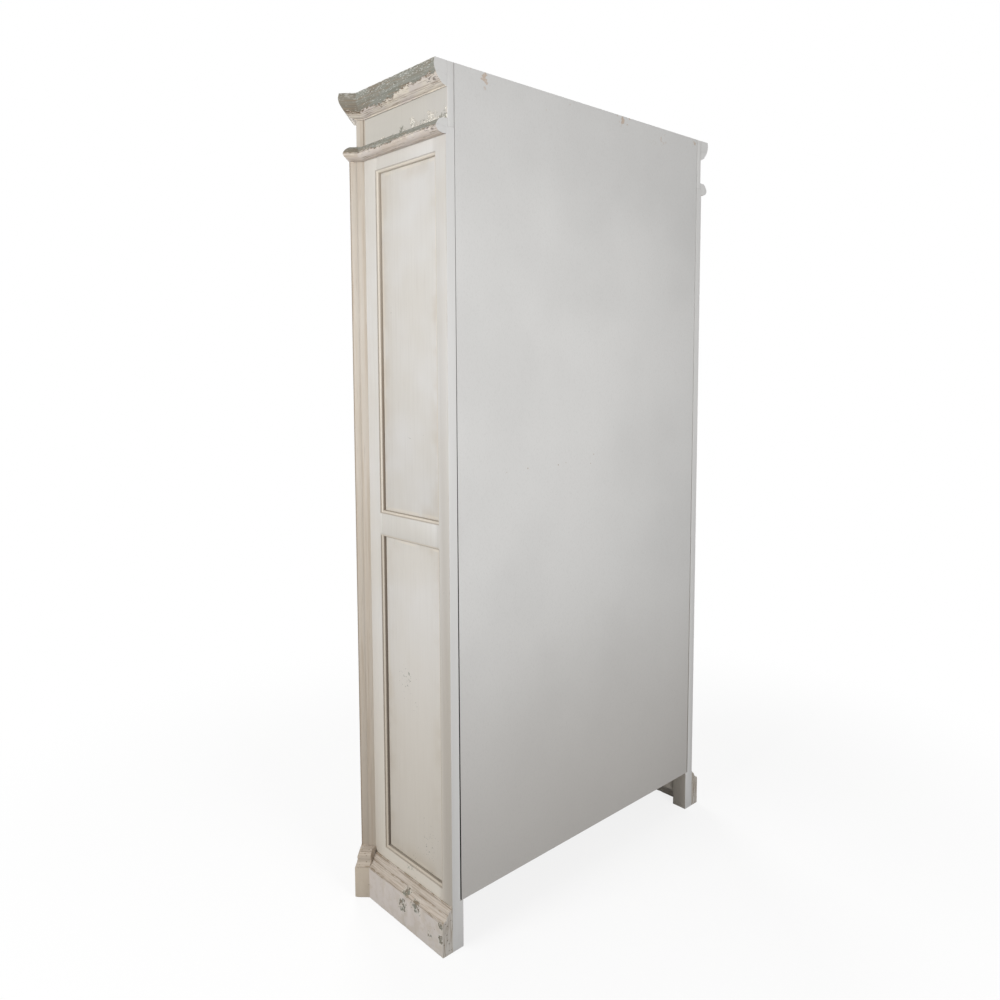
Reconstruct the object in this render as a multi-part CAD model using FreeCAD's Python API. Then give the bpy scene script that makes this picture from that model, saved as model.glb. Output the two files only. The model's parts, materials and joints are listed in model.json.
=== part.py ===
# Tall cupboard with two panelled doors and sides, canted corner posts, plinth, waist moulding and cornice.
# The origin is on the floor under the middle of the whole cupboard. +Z is up, the doors face -Y, millimetres.
import FreeCAD, Part
import math
import os

from FreeCAD import Vector

# Carcass
cupboard_height = 2196.0
carcass_width = 1060.0
side_depth = 337.0
side_thickness = 30.0
rear_stile_thickness = 36.0
rear_edge_width = 26.0
board_thickness = 20.0
board_housing = 5.0
cut_overrun = 2.0

# Canted corner posts, with a pilaster planted on each 45 degree face
post_return = 15.0
post_face_width = 60.0
pilaster_thickness = 19.0

# Side panelling. Heights are from the floor, and a drop is measured down from the top of the cupboard.
front_stile_width = 49.0
rear_stile_width = 40.0
side_rail_low = 43.0
lower_field_low = 151.0
lower_field_high = 1039.0
middle_rail_height = 56.0
upper_field_drop = 199.0

# Bead round every sunk field, and the panel in its groove
bead_width = 8.0
quirk_width = 2.0
quirk_depth = 2.0
bead_depth = 8.0
bead_shares = ((0.0, 0.0), (0.35, 0.1), (0.7, 0.42), (1.0, 1.0))
panel_setback = 12.0
panel_thickness = 8.0
groove_depth = 8.0
groove_play = 1.0
tenon_thickness = 10.0
tenon_length = 26.0
tenon_shoulder = 10.0

# Plinth: a low cap along the sides and the front, a tall cap round each corner post
plinth_thickness = 33.0
plinth_face_height = 88.0
plinth_cap_height = 32.0
corner_cap_height = 46.0
corner_cap_projection = 14.0
# Share of the projection, share of the cap's height, bulge as a share of the chord
plinth_cap_shares = (
    (0.94, 0.0, 0.0),
    (0.94, 0.1, 0.0),
    (0.5, 0.48, 0.2),
    (0.42, 0.48, 0.0),
    (0.1, 0.86, -0.16),
    (0.1, 1.0, 0.0),
)
corner_cap_shares = (
    (0.88, 0.0, 0.0),
    (0.88, 0.06, 0.0),
    (0.5, 0.44, 0.14),
    (0.16, 0.84, -0.14),
    (0.1, 0.84, 0.0),
    (0.1, 1.0, 0.0),
)

# Waist moulding under the frieze
waist_drop = 167.0
waist_height = 36.0
waist_projection = 30.0
waist_crown_shares = (
    (0.5, 0.0, 0.0),
    (0.55, 0.04, 0.0),
    (0.9, 0.22, -0.12),
    (0.98, 0.3, 0.0),
    (1.0, 0.42, 0.0),
    (0.45, 0.96, -0.1),
)

# Frieze and cornice
frieze_setback = 5.0
frieze_drop = 149.0
frieze_thickness = 20.0
cornice_height = 59.0
cornice_projection = 39.0
cornice_top_share = 0.94
cornice_shares = (
    (0.1, 0.0, 0.0),
    (0.1, 0.04, 0.0),
    (0.44, 0.13, -0.12),
    (0.5, 0.13, 0.0),
    (0.5, 0.17, 0.0),
    (0.87, 0.48, -0.05),
    (1.0, 0.78, -0.06),
)

# Back, boards and shelves
back_thickness = 12.0
back_bottom = 126.0
back_play_low = 4.5
back_play_high = 1.0
lid_thickness = 15.0
top_board_drop = 182.0
fixed_shelf_low = 1211.0
lower_space_count = 3
upper_space_count = 2
shelf_side_play = 1.0
shelf_front_setback = 2.0
peg_radius = 3.5
peg_length = 22.0
peg_seat_length = 12.0
front_peg_inset = 30.0
rear_peg_inset = 36.0

# Doors
door_thickness = 24.0
door_stile_width = 66.0
door_low = 138.0
door_top_play = 3.0
door_bottom_rail_height = 92.0
door_top_rail_height = 78.0
meeting_gap = 3.0
hinge_gap = 2.0
door_back_play = 1.0
front_rail_play = 3.0

# Butt hinges
hinge_height = 75.0
hinge_end_inset = 190.0
hinge_count = 3
knuckle_count = 5
knuckle_radius = 4.0
knuckle_play = 0.3
pin_radius = 2.0
pin_play = 0.08
pin_offset = 5.5
leaf_thickness = 2.0
leaf_width = 19.0
leaf_play = 0.4
finial_radius = 3.0

# Knobs, above the middle rail. The shares are of the head's radius and of the knob's reach.
knob_rise = 51.0
knob_rose_radius = 13.0
knob_rose_thickness = 3.0
knob_foot_radius = 8.4
knob_head_radius = 15.0
knob_reach = 32.0
knob_shares = ((0.4, 0.33), (0.8, 0.52), (1.0, 0.68), (0.9, 0.86), (0.5, 0.97))
knob_shank_radius = 3.0
knob_shank_length = 18.0

# Lock, key and strike. The key enters a little below the top of the lower panel.
lock_drop = 13.0
lock_inset = 24.0
lock_case_width = 46.0
lock_case_height = 70.0
lock_case_thickness = 14.0
lock_wall = 2.0
lock_plate_thickness = 2.0
lock_plate_height = 84.0
bolt_thickness = 7.0
bolt_height = 14.0
bolt_length = 38.0
bolt_travel = 9.0
bolt_play = 0.3
ward_radius = 12.0
key_shaft_radius = 3.0
key_play = 0.1
keyhole_play = 0.6
key_bit_reach = 10.0
key_bit_thickness = 2.4
key_bit_depth = 6.0
key_stand_off = 26.0
key_bow_radius = 12.0
key_bow_thickness = 4.0
key_bow_hole_share = 0.58
escutcheon_radius = 15.0
escutcheon_height = 52.0
escutcheon_thickness = 2.0
strike_thickness = 2.0
strike_height = 46.0
strike_play = 1.5

# Surface bolts on the back of the left door
rod_radius = 4.0
rod_length = 150.0
rod_stand_off = 10.0
rod_play = 0.3
rod_board_play = 2.0
rod_inset = 34.0
rod_hole_play = 0.6
keep_width = 30.0
keep_height = 16.0
keep_plate_thickness = 2.0
keep_wall = 2.5
keep_shares = (0.2, 0.8)
thumb_radius = 3.0
thumb_length = 9.0

# Worked out from the sizes above
half_width = carcass_width / 2
face_leg = post_face_width / math.sqrt(2)
upper_field_low = lower_field_high + middle_rail_height
upper_field_high = cupboard_height - upper_field_drop
waist_bottom = cupboard_height - waist_drop
frieze_start = cupboard_height - frieze_drop
top_board_low = cupboard_height - top_board_drop
door_high = waist_bottom - door_top_play
front_y = -(side_depth + face_leg)
opening_half = half_width - face_leg
inner_half = half_width - side_thickness
stile_inner_half = half_width - rear_stile_thickness
board_front_y = front_y + door_thickness + door_back_play
shelf_front_y = -side_depth + shelf_front_setback
hinge_edge = opening_half - hinge_gap
meeting_edge = meeting_gap / 2
door_back_y = front_y + door_thickness
rod_y = door_back_y + rod_stand_off
rod_x = -(meeting_edge + rod_inset)
knob_height = upper_field_low + knob_rise
lock_x = meeting_edge + lock_inset
lock_height = lower_field_high - lock_drop
case_y = (door_back_y - lock_case_thickness, door_back_y)
bolt_middle_y = door_back_y - lock_case_thickness / 2
bolt_y = (bolt_middle_y - bolt_thickness / 2, bolt_middle_y + bolt_thickness / 2)
bolt_low = lock_height + ward_radius + lock_wall
bolt_z = (bolt_low, bolt_low + bolt_height)
up = Vector(0, 0, 1)
outwards = Vector(0, -1, 0)
nodes = {}


def box(x_range, y_range, z_range):
    """A block between three pairs of limits."""
    size = [high - low for low, high in (x_range, y_range, z_range)]
    return Part.makeBox(*size, Vector(x_range[0], y_range[0], z_range[0]))


def mirrored(shape):
    """The same piece on the other side of the cupboard."""
    return shape.mirror(Vector(0, 0, 0), Vector(1, 0, 0))


def both_sides(name, shape):
    """Stores a piece and its mirror image as the right and left nodes."""
    nodes[name + "_right"] = shape
    nodes[name + "_left"] = mirrored(shape)


def group(solids):
    """Several separate solids kept in one node."""
    return Part.makeCompound([solid for piece in solids for solid in piece.Solids])


def prism(points, low, high):
    """A plan outline raised from one height to another."""
    corners = [Vector(x, y, low) for x, y in points]
    face = Part.Face(Part.makePolygon(corners + corners[:1]))
    return face.extrude(up * (high - low))


def rod(centre, radius, direction, length):
    """A round bar from a centre point along a direction."""
    return Part.makeCylinder(radius, length, centre, direction)


def left_normal(start, end):
    """The unit vector that points out of the carcass from one leg of a plan outline."""
    run = (end[0] - start[0], end[1] - start[1])
    length = math.hypot(*run)
    return (-run[1] / length, run[0] / length)


def offset_path(points, distances):
    """Moves each leg of a plan outline outwards by its own distance, and joins the legs again."""
    legs = list(zip(points, points[1:]))
    normals = [left_normal(*leg) for leg in legs]
    lines = [(n, n[0] * leg[0][0] + n[1] * leg[0][1] + d) for n, leg, d in zip(normals, legs, distances)]
    first = (points[0][0] + normals[0][0] * distances[0], points[0][1] + normals[0][1] * distances[0])
    last = (points[-1][0] + normals[-1][0] * distances[-1], points[-1][1] + normals[-1][1] * distances[-1])
    corners = []
    for (n, a), (m, b) in zip(lines, lines[1:]):
        turn = n[0] * m[1] - n[1] * m[0]
        corners.append(((a * m[1] - b * n[1]) / turn, (n[0] * b - m[0] * a) / turn))
    return [first] + corners + [last]


def whole_path(right_half):
    """A plan outline from the right rear corner round the front to the left rear corner."""
    return right_half + [(-x, y) for x, y in reversed(right_half)]


corner_start = (half_width, -side_depth)
post_outer = (half_width + post_return, -(side_depth + post_return))
post_inner = (post_outer[0] - face_leg, post_outer[1] - face_leg)
post_end = (opening_half, front_y)
carcass_path = whole_path([(half_width, 0), corner_start, post_outer, post_inner, post_end])
leg_count = len(carcass_path) - 1
front_leg = leg_count // 2
right_legs = range(front_leg)
side_legs = (0, leg_count - 1)
face_legs = (front_leg - 2, front_leg + 2)
frieze_offsets = [0 if leg in face_legs else -frieze_setback for leg in range(leg_count)]
frieze_path = offset_path(carcass_path, frieze_offsets)


def profile_face(outline, base, across):
    """A moulding's section. Each point is projection, height and the bulge of the edge that leads to it."""
    places = [base + across * point_out + up * height for point_out, height, _ in outline]
    edges = []
    for index, point in enumerate(places):
        previous = places[index - 1]
        bulge = outline[index][2]
        if bulge == 0:
            edges.append(Part.LineSegment(previous, point).toShape())
            continue
        chord = point - previous
        middle = (previous + point) / 2 + chord.cross(up.cross(across)) * bulge
        edges.append(Part.Arc(previous, middle, point).toShape())
    return Part.Face(Part.Wire(Part.__sortEdges__(edges)))


def moulding_run(path, leg, outline):
    """One straight length of moulding, cut to its mitres at both ends."""
    start, end = path[leg], path[leg + 1]
    normal = left_normal(start, end)
    across = Vector(normal[0], normal[1], 0)
    along = up.cross(across) * -1
    outs = [point[0] for point in outline]
    heights = [point[1] for point in outline]
    reach = max(outs) + cut_overrun
    length = math.dist(start, end)
    face = profile_face(outline, Vector(*start, 0) - along * reach, across)
    bar = face.extrude(along * (length + 2 * reach))
    count = len(path) - 1
    inner = offset_path(path, [min(outs) - cut_overrun] * count)
    outer = offset_path(path, [reach] * count)
    wedge_plan = [inner[leg], outer[leg], outer[leg + 1], inner[leg + 1]]
    wedge = prism(wedge_plan, min(heights) - cut_overrun, max(heights) + cut_overrun)
    return bar.common(wedge)


def store_moulding(name, path, outline_of_leg):
    """The front length, and the side and corner lengths of each end as one group."""
    nodes[name + "_front"] = moulding_run(path, front_leg, outline_of_leg(front_leg))
    both_sides(name, group([moulding_run(path, leg, outline_of_leg(leg)) for leg in right_legs]))


def shaped(shares, projection, height, base_out, base_height):
    """Turns a table of shares into profile points."""
    return [(base_out + a * projection, base_height + b * height, bulge) for a, b, bulge in shares]


def plinth_outline(leg):
    """A board on the floor with an ogee cap, which is taller and steeper round the corner posts."""
    board = [(0, 0, 0), (plinth_thickness, 0, 0), (plinth_thickness, plinth_face_height, 0)]
    if leg == front_leg or leg in side_legs:
        size = (plinth_thickness, plinth_cap_height)
        cap = shaped(plinth_cap_shares, *size, 0, plinth_face_height)
    else:
        size = (corner_cap_projection, corner_cap_height)
        cap = shaped(corner_cap_shares, *size, plinth_thickness - corner_cap_projection, plinth_face_height)
    return board + cap + [(0, cap[-1][1], 0)]


def waist_outline(leg):
    """A swelling underside, a narrow edge and a rounded slope that runs back to the frieze."""
    back = frieze_offsets[leg]
    crown = shaped(waist_crown_shares, waist_projection, waist_height, 0, waist_bottom)
    nose_out, nose_height, _ = crown[-1]
    slope = (waist_bottom + waist_height - nose_height) / (nose_out + frieze_setback)
    top = nose_height + slope * (nose_out - back)
    ledge = [] if back == 0 else [(back, frieze_start, 0), (0, frieze_start, 0)]
    return ledge + [(0, waist_bottom, 0)] + crown + [(back, top, 0)]


def cornice_outline(leg):
    """An ovolo, a fillet and two long, slightly swelling members."""
    low = cupboard_height - cornice_height
    crown = shaped(cornice_shares, cornice_projection, cornice_height, 0, low)
    top_edge = (cornice_top_share * cornice_projection, cupboard_height, 0)
    return [(0, low, 0)] + crown + [top_edge, (0, cupboard_height, 0)]


def rectangle(limits, inset, depth):
    """A closed upright rectangle at a depth behind the face."""
    left, right, low, high = limits
    spots = (
        (left + inset, low + inset),
        (right - inset, low + inset),
        (right - inset, high - inset),
        (left + inset, high - inset),
    )
    corners = [Vector(x, depth, z) for x, z in spots]
    return Part.makePolygon(corners + corners[:1])


def grown(limits, amount):
    """A rectangle's limits moved outwards."""
    left, right, low, high = limits
    return (left - amount, right + amount, low - amount, high + amount)


def field_cutters(limits):
    """The wood taken away round one sunk field: a quirk, a rounded bead and the panel's groove."""
    left, right, low, high = limits
    quirk = box((left, right), (-cut_overrun, quirk_depth), (low, high))
    bead_run = bead_width - quirk_width
    bead_fall = bead_depth - quirk_depth
    steps = [(quirk_width + a * bead_run, quirk_depth + b * bead_fall) for a, b in bead_shares]
    sections = [rectangle(limits, inset, depth) for inset, depth in steps]
    bead = Part.makeLoft(sections, True, True)
    g_left, g_right, g_low, g_high = grown(limits, groove_depth - bead_width)
    groove = box((g_left, g_right), (panel_setback, panel_setback + panel_thickness), (g_low, g_high))
    return [quirk, bead, groove]


def panelled_frame(edges, stile_widths, heights, rails, thickness):
    """Stiles, rails and panels in a flat frame: X across, Y into the wood from its face, Z up."""
    left, right = edges
    field_left = left + stile_widths[0]
    field_right = right - stile_widths[1]
    shoulders = (field_left + bead_width, field_right - bead_width)
    tenon_y = ((thickness - tenon_thickness) / 2, (thickness + tenon_thickness) / 2)
    fields = [(field_left, field_right, low[1], high[0]) for low, high in zip(rails, rails[1:])]
    cutters = [cutter for limits in fields for cutter in field_cutters(limits)]
    rail_solids = []
    tenons = []
    for index, (low, high) in enumerate(rails):
        low_edge = low if index == 0 else low - bead_width
        high_edge = high if index == len(rails) - 1 else high + bead_width
        body = box(shoulders, (0, thickness), (low_edge, high_edge))
        tenon_x = (shoulders[0] - tenon_length, shoulders[1] + tenon_length)
        tenon_z = (low_edge + tenon_shoulder, high_edge - tenon_shoulder)
        tenon = box(tenon_x, tenon_y, tenon_z)
        tenons.append(tenon)
        rail_solids.append(body.cut(cutters).fuse(tenon).removeSplitter())
    stiles = [
        box((left, shoulders[0]), (0, thickness), heights).cut(cutters + tenons),
        box((shoulders[1], right), (0, thickness), heights).cut(cutters + tenons),
    ]
    panels = []
    panel_y = (panel_setback, panel_setback + panel_thickness)
    for limits in fields:
        p_left, p_right, p_low, p_high = grown(limits, groove_depth - groove_play - bead_width)
        panels.append(box((p_left, p_right), panel_y, (p_low, p_high)))
    return stiles, rail_solids, panels


def stand_at_side(shape):
    """Turns a flat frame to face +X on the right side of the carcass."""
    turned = shape.copy()
    turned.rotate(Vector(0, 0, 0), up, 90)
    turned.translate(Vector(half_width, -side_depth, 0))
    return turned


def notched_board(half, rear_half, front_half, rear_y, step_y, edge_y, low, thickness):
    """A board between the sides, notched round the rear stiles and between the corner posts."""
    stile_y = -(rear_stile_width + bead_width)
    right = [(rear_half, rear_y), (rear_half, stile_y), (half, stile_y), (half, step_y)]
    if edge_y < step_y:
        right += [(front_half, step_y), (front_half, edge_y)]
    return prism(right + [(-x, y) for x, y in reversed(right)], low, low + thickness)


def carcass_board(low):
    """A board housed in both sides that also stops the doors."""
    halves = (inner_half + board_housing, stile_inner_half + board_housing, opening_half)
    return notched_board(*halves, -back_thickness, -side_depth, board_front_y, low, board_thickness)


def make_boards():
    """Bottom, top, fixed shelf and loose shelves, spaced evenly below and above the fixed shelf."""
    hole_length = board_thickness + 2 * cut_overrun
    for name, low in (("bottom_board", back_bottom), ("top_board", top_board_low)):
        hole_base = Vector(rod_x, rod_y, low - cut_overrun)
        nodes[name] = carcass_board(low).cut(rod(hole_base, rod_radius + rod_hole_play, up, hole_length))
    housed = (inner_half + board_housing, stile_inner_half + board_housing, 0)
    fixed_places = (-back_thickness, shelf_front_y, shelf_front_y, fixed_shelf_low)
    nodes["fixed_shelf"] = notched_board(*housed, *fixed_places, board_thickness)
    loose = (inner_half - shelf_side_play, stile_inner_half - shelf_side_play, 0)
    for number, low in enumerate(loose_shelf_heights(), start=1):
        places = (-back_thickness, shelf_front_y, shelf_front_y, low)
        nodes["loose_shelf_%d" % number] = notched_board(*loose, *places, board_thickness)


def loose_shelf_heights():
    """Undersides of the loose shelves, from the bottom up."""
    floor_top = back_bottom + board_thickness
    fixed_top = fixed_shelf_low + board_thickness
    groups = (
        (floor_top, fixed_shelf_low, lower_space_count),
        (fixed_top, top_board_low, upper_space_count),
    )
    heights = []
    for low, high, spaces in groups:
        clear = (high - low - (spaces - 1) * board_thickness) / spaces
        heights += [low + clear + index * (clear + board_thickness) for index in range(spaces - 1)]
    return heights


def make_pegs():
    """Four round pegs under each loose shelf, and the holes that they sit in."""
    spots = (
        (inner_half, -side_depth + front_peg_inset),
        (stile_inner_half, -rear_peg_inset),
    )
    pegs = []
    for low in loose_shelf_heights():
        for wall, y in spots:
            centre = Vector(wall + peg_seat_length, y, low - peg_radius)
            pegs.append(rod(centre, peg_radius, Vector(-1, 0, 0), peg_length))
    nodes["shelf_pegs"] = group(pegs + [mirrored(peg) for peg in pegs])
    return pegs


def make_sides():
    """Framed and panelled sides. The rear stile is thicker, runs up behind the frieze and holds the back."""
    rails = [
        (side_rail_low, lower_field_low),
        (lower_field_high, upper_field_low),
        (upper_field_high, frieze_start),
    ]
    widths = (front_stile_width, rear_stile_width)
    frame = panelled_frame((0, side_depth), widths, (0, frieze_start), rails, side_thickness)
    stiles, rail_solids, panels = [[stand_at_side(piece) for piece in pieces] for pieces in frame]
    stile_y = (-(rear_stile_width + bead_width), 0)
    frieze_back = half_width - frieze_setback - frieze_thickness
    thickening = box((stile_inner_half, inner_half), stile_y, (0, cupboard_height))
    head = box((stile_inner_half, frieze_back), stile_y, (frieze_start, cupboard_height))
    rebate_x = (stile_inner_half, half_width - rear_edge_width)
    rebate = box(rebate_x, (-back_thickness, 0), (back_bottom, cupboard_height))
    rear = stiles[1].fuse([thickening, head]).cut(rebate).removeSplitter()
    boards = [nodes[name] for name in ("bottom_board", "top_board", "fixed_shelf")]
    seats = boards + make_pegs()
    both_sides("side_front_stile", stiles[0].cut(seats))
    both_sides("side_rear_stile", rear.cut(seats))
    both_sides("side_rails", group([rail.cut(boards) for rail in rail_solids]))
    both_sides("side_lower_panel", panels[0])
    both_sides("side_upper_panel", panels[1])


def make_posts(leaf_mortises):
    """Canted corner posts and the pilasters planted on them between plinth cap and waist moulding."""
    plan = [corner_start, post_outer, post_inner, post_end, (opening_half, -side_depth)]
    both_sides("corner_post", prism(plan, 0, frieze_start).cut(leaf_mortises))
    offsets = [pilaster_thickness if leg in face_legs else 0 for leg in range(leg_count)]
    raised = offset_path(carcass_path, offsets)
    low = plinth_face_height + corner_cap_height
    both_sides("corner_pilaster", prism([post_outer, raised[2], raised[3], post_inner], low, waist_bottom))


def make_frieze():
    """Frieze boards with a solid block over each corner post, and the lid between them."""
    path = frieze_path
    inner_x = path[0][0] - frieze_thickness
    front_back = board_front_y
    block_back = (path[4][0], path[1][1])
    block = prism([path[1], path[2], path[3], path[4], block_back], frieze_start, cupboard_height)
    side = box((inner_x, path[0][0]), (path[1][1], 0), (frieze_start, cupboard_height))
    both_sides("frieze", group([side, block]))
    upper = box((-path[4][0], path[4][0]), (path[4][1], front_back), (frieze_start, cupboard_height))
    lower = box((-opening_half, opening_half), (front_y, front_back), (waist_bottom, frieze_start))
    nodes["frieze_front"] = upper.fuse(lower).removeSplitter()
    stile_half = stile_inner_half
    plan = (inner_x, stile_half, path[4][0], -back_thickness, path[1][1], front_back)
    nodes["lid_board"] = notched_board(*plan, cupboard_height - lid_thickness, lid_thickness)


def make_back_and_front_rail():
    """The plain back, a little narrower below, in the rear stiles' rebates, and the bottom front rail."""
    low_half = half_width - rear_edge_width - back_play_low
    high_half = half_width - rear_edge_width - back_play_high
    low_corners = [Vector(x, 0, back_bottom) for x in (-low_half, low_half)]
    high_corners = [Vector(x, 0, cupboard_height) for x in (high_half, -high_half)]
    corners = low_corners + high_corners
    face = Part.Face(Part.makePolygon(corners + corners[:1]))
    nodes["back_panel"] = face.extrude(outwards * back_thickness)
    rail_heights = (side_rail_low, door_low - front_rail_play)
    rail = box((-opening_half, opening_half), (front_y, board_front_y), rail_heights)
    nodes["bottom_front_rail"] = rail.cut(nodes["bottom_board"])


def hinge_heights():
    """Middles of the hinges, spread evenly between the door's ends."""
    low = door_low + hinge_end_inset
    high = door_high - hinge_end_inset
    return [low + (high - low) * index / (hinge_count - 1) for index in range(hinge_count)]


def make_hinges():
    """Butt hinges with a fixed pin. Returns the shapes that the post and the door edge are cut for."""
    pin = Vector(opening_half - hinge_gap / 2, front_y - pin_offset, 0)
    proud = (hinge_gap - leaf_play) / 2
    post_x = (opening_half - proud, opening_half - proud + leaf_thickness)
    door_x = (hinge_edge + proud - leaf_thickness, hinge_edge + proud)
    leaf_y = (front_y, front_y + leaf_width)
    step = hinge_height / knuckle_count
    fixed, moving, post_mortises, door_mortises = [], [], [], []
    for middle in hinge_heights():
        low = middle - hinge_height / 2
        high = middle + hinge_height / 2
        solids = [box(post_x, leaf_y, (low, high)), box(door_x, leaf_y, (low, high))]
        for index in range(knuckle_count):
            side = index % 2
            knuckle_z = (low + index * step + knuckle_play / 2, low + (index + 1) * step - knuckle_play / 2)
            base = Vector(pin.x, pin.y, knuckle_z[0])
            barrel = rod(base, knuckle_radius, up, knuckle_z[1] - knuckle_z[0])
            web = box((post_x, door_x)[side], (pin.y, front_y), knuckle_z)
            solids[side] = solids[side].fuse([barrel, web])
        pin_base = Vector(pin.x, pin.y, low)
        pin_rod = rod(pin_base, pin_radius, up, hinge_height)
        bore = rod(pin_base, pin_radius + pin_play, up, hinge_height)
        finials = [Part.makeSphere(finial_radius, Vector(pin.x, pin.y, z)) for z in (low, high)]
        fixed.append(solids[0].fuse([pin_rod] + finials).removeSplitter())
        moving.append(solids[1].cut(bore).removeSplitter())
        cut_y = (front_y - leaf_thickness, front_y + leaf_width)
        post_mortises.append(box((opening_half, post_x[1]), cut_y, (low, high)))
        door_mortises.append(box((door_x[0], hinge_edge), cut_y, (low, high)))
    both_sides("hinge_frame_leaves", group(fixed))
    both_sides("hinge_door_leaves", group(moving))
    return post_mortises, door_mortises


def turned(profile, centre):
    """A piece turned about a line along Y. The profile is radius and distance in front of the centre."""
    places = [centre + Vector(radius, -reach, 0) for radius, reach in profile]
    face = Part.Face(Part.makePolygon(places + places[:1]))
    return face.revolve(centre, outwards, 360)


def make_knob():
    """A turned knob on a rose, with a shank let into the stile. Returns the hole for the shank."""
    centre = Vector(meeting_edge + door_stile_width / 2, front_y, knob_height)
    shank_and_rose = [
        (0, -knob_shank_length),
        (knob_shank_radius, -knob_shank_length),
        (knob_shank_radius, 0),
        (knob_rose_radius, 0),
        (knob_rose_radius, knob_rose_thickness / 2),
        (knob_foot_radius, knob_rose_thickness),
    ]
    head = [(radius * knob_head_radius, reach * knob_reach) for radius, reach in knob_shares]
    both_sides("door_knob", turned(shank_and_rose + head + [(0, knob_reach)], centre))
    return rod(centre, knob_shank_radius, outwards * -1, knob_shank_length)


def keyhole(y_range, play):
    """A round hole with a slot below it, along Y, for the key's shaft and bit."""
    slot_half = key_bit_thickness / 2 + play
    slot_z = (lock_height - key_bit_reach - play, lock_height)
    slot = box((lock_x - slot_half, lock_x + slot_half), y_range, slot_z)
    return key_rod(y_range, key_shaft_radius + play).fuse(slot)


def key_rod(y_range, radius):
    """A round bar or hole on the key's line between two depths."""
    return rod(Vector(lock_x, y_range[0], lock_height), radius, outwards * -1, y_range[1] - y_range[0])


def spread(middle, size):
    """The two limits of a size that is centred on a place."""
    return (middle - size / 2, middle + size / 2)


def make_lock():
    """A lock in the back of the right meeting stile, and its bolt. Returns what the stile is cut for."""
    body = box((meeting_edge, meeting_edge + lock_case_width), case_y, spread(lock_height, lock_case_height))
    plate_x = (meeting_edge, meeting_edge + lock_plate_thickness)
    plate = box(plate_x, case_y, spread(lock_height, lock_plate_height))
    nodes["lock_bolt"] = box((meeting_edge, meeting_edge + bolt_length), bolt_y, bolt_z)
    track_x = (meeting_edge - cut_overrun, meeting_edge + bolt_length + bolt_play)
    track_y = (bolt_y[0] - bolt_play, bolt_y[1] + bolt_play)
    track_z = (bolt_z[0] - bolt_play, bolt_z[1] + bolt_play)
    ward = key_rod((case_y[0] + lock_wall, case_y[1] - lock_wall), ward_radius)
    shaft_hole = key_rod(case_y, key_shaft_radius + key_play)
    wall_slot = keyhole((case_y[0], case_y[0] + lock_wall), key_play)
    hollows = [box(track_x, track_y, track_z), ward, shaft_hole, wall_slot]
    nodes["lock_case"] = body.fuse(plate).cut(hollows).removeSplitter()
    return [body, plate, keyhole((front_y, case_y[0]), keyhole_play)]


def make_key():
    """A shaft with a bit inside the lock and a ring to hold it by."""
    bow_y = front_y - key_stand_off
    shaft = key_rod((bow_y, door_back_y), key_shaft_radius)
    bit_start = case_y[0] + lock_wall + bolt_play
    bit_z = (lock_height - key_bit_reach, lock_height)
    bit = box(spread(lock_x, key_bit_thickness), (bit_start, bit_start + key_bit_depth), bit_z)
    sideways = Vector(1, 0, 0)
    bow_centre = Vector(lock_x - key_bow_thickness / 2, bow_y - key_bow_radius, lock_height)
    ring = rod(bow_centre, key_bow_radius + key_shaft_radius / 2, sideways, key_bow_thickness)
    ring_hole = rod(bow_centre, key_bow_radius * key_bow_hole_share, sideways, key_bow_thickness)
    nodes["key"] = shaft.fuse([bit, ring.cut(ring_hole)]).removeSplitter()


def make_escutcheon():
    """A plate round the keyhole on the door's face."""
    plate_y = (front_y - escutcheon_thickness, front_y)
    shield = key_rod(plate_y, escutcheon_radius)
    tail = box(spread(lock_x, escutcheon_radius), plate_y, spread(lock_height, escutcheon_height))
    nodes["escutcheon"] = shield.fuse(tail).cut(keyhole(plate_y, keyhole_play)).removeSplitter()


def make_strike():
    """The plate on the left meeting stile that takes the bolt. Returns what the stile is cut for."""
    strike_z = spread(bolt_low + bolt_height / 2, strike_height)
    strike = box((-meeting_edge - strike_thickness, -meeting_edge), case_y, strike_z)
    pocket_x = (-meeting_edge - bolt_travel - strike_play, -meeting_edge)
    pocket_y = (bolt_y[0] - strike_play, bolt_y[1] + strike_play)
    pocket_z = (bolt_z[0] - strike_play, bolt_z[1] + strike_play)
    pocket = box(pocket_x, pocket_y, pocket_z)
    nodes["strike_plate"] = strike.cut(pocket)
    return [strike, pocket]


def make_rod_bolts():
    """Upper and lower surface bolts on the back of the left door, each sliding in two keeps."""
    keeps = []
    starts = (
        ("lower", back_bottom + board_thickness + rod_board_play, 1),
        ("upper", top_board_low - rod_board_play, -1),
    )
    for name, tip, direction in starts:
        base = Vector(rod_x, rod_y, tip)
        bar = rod(base, rod_radius, up * direction, rod_length)
        thumb_z = tip + direction * rod_length / 2
        thumb = rod(Vector(rod_x, rod_y, thumb_z), thumb_radius, outwards * -1, thumb_length)
        nodes["rod_bolt_" + name] = bar.fuse(thumb).removeSplitter()
        for share in keep_shares:
            keep_z = spread(tip + direction * rod_length * share, keep_height)
            plate_y = (door_back_y, door_back_y + keep_plate_thickness)
            plate = box(spread(rod_x, keep_width), plate_y, keep_z)
            arch_half = rod_radius + keep_wall
            arch = box((rod_x - arch_half, rod_x + arch_half), (door_back_y, rod_y + arch_half), keep_z)
            hole = rod(Vector(rod_x, rod_y, keep_z[0]), rod_radius + rod_play, up, keep_height)
            keeps.append(plate.fuse(arch).cut(hole).removeSplitter())
    nodes["rod_bolt_keeps"] = group(keeps)


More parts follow.
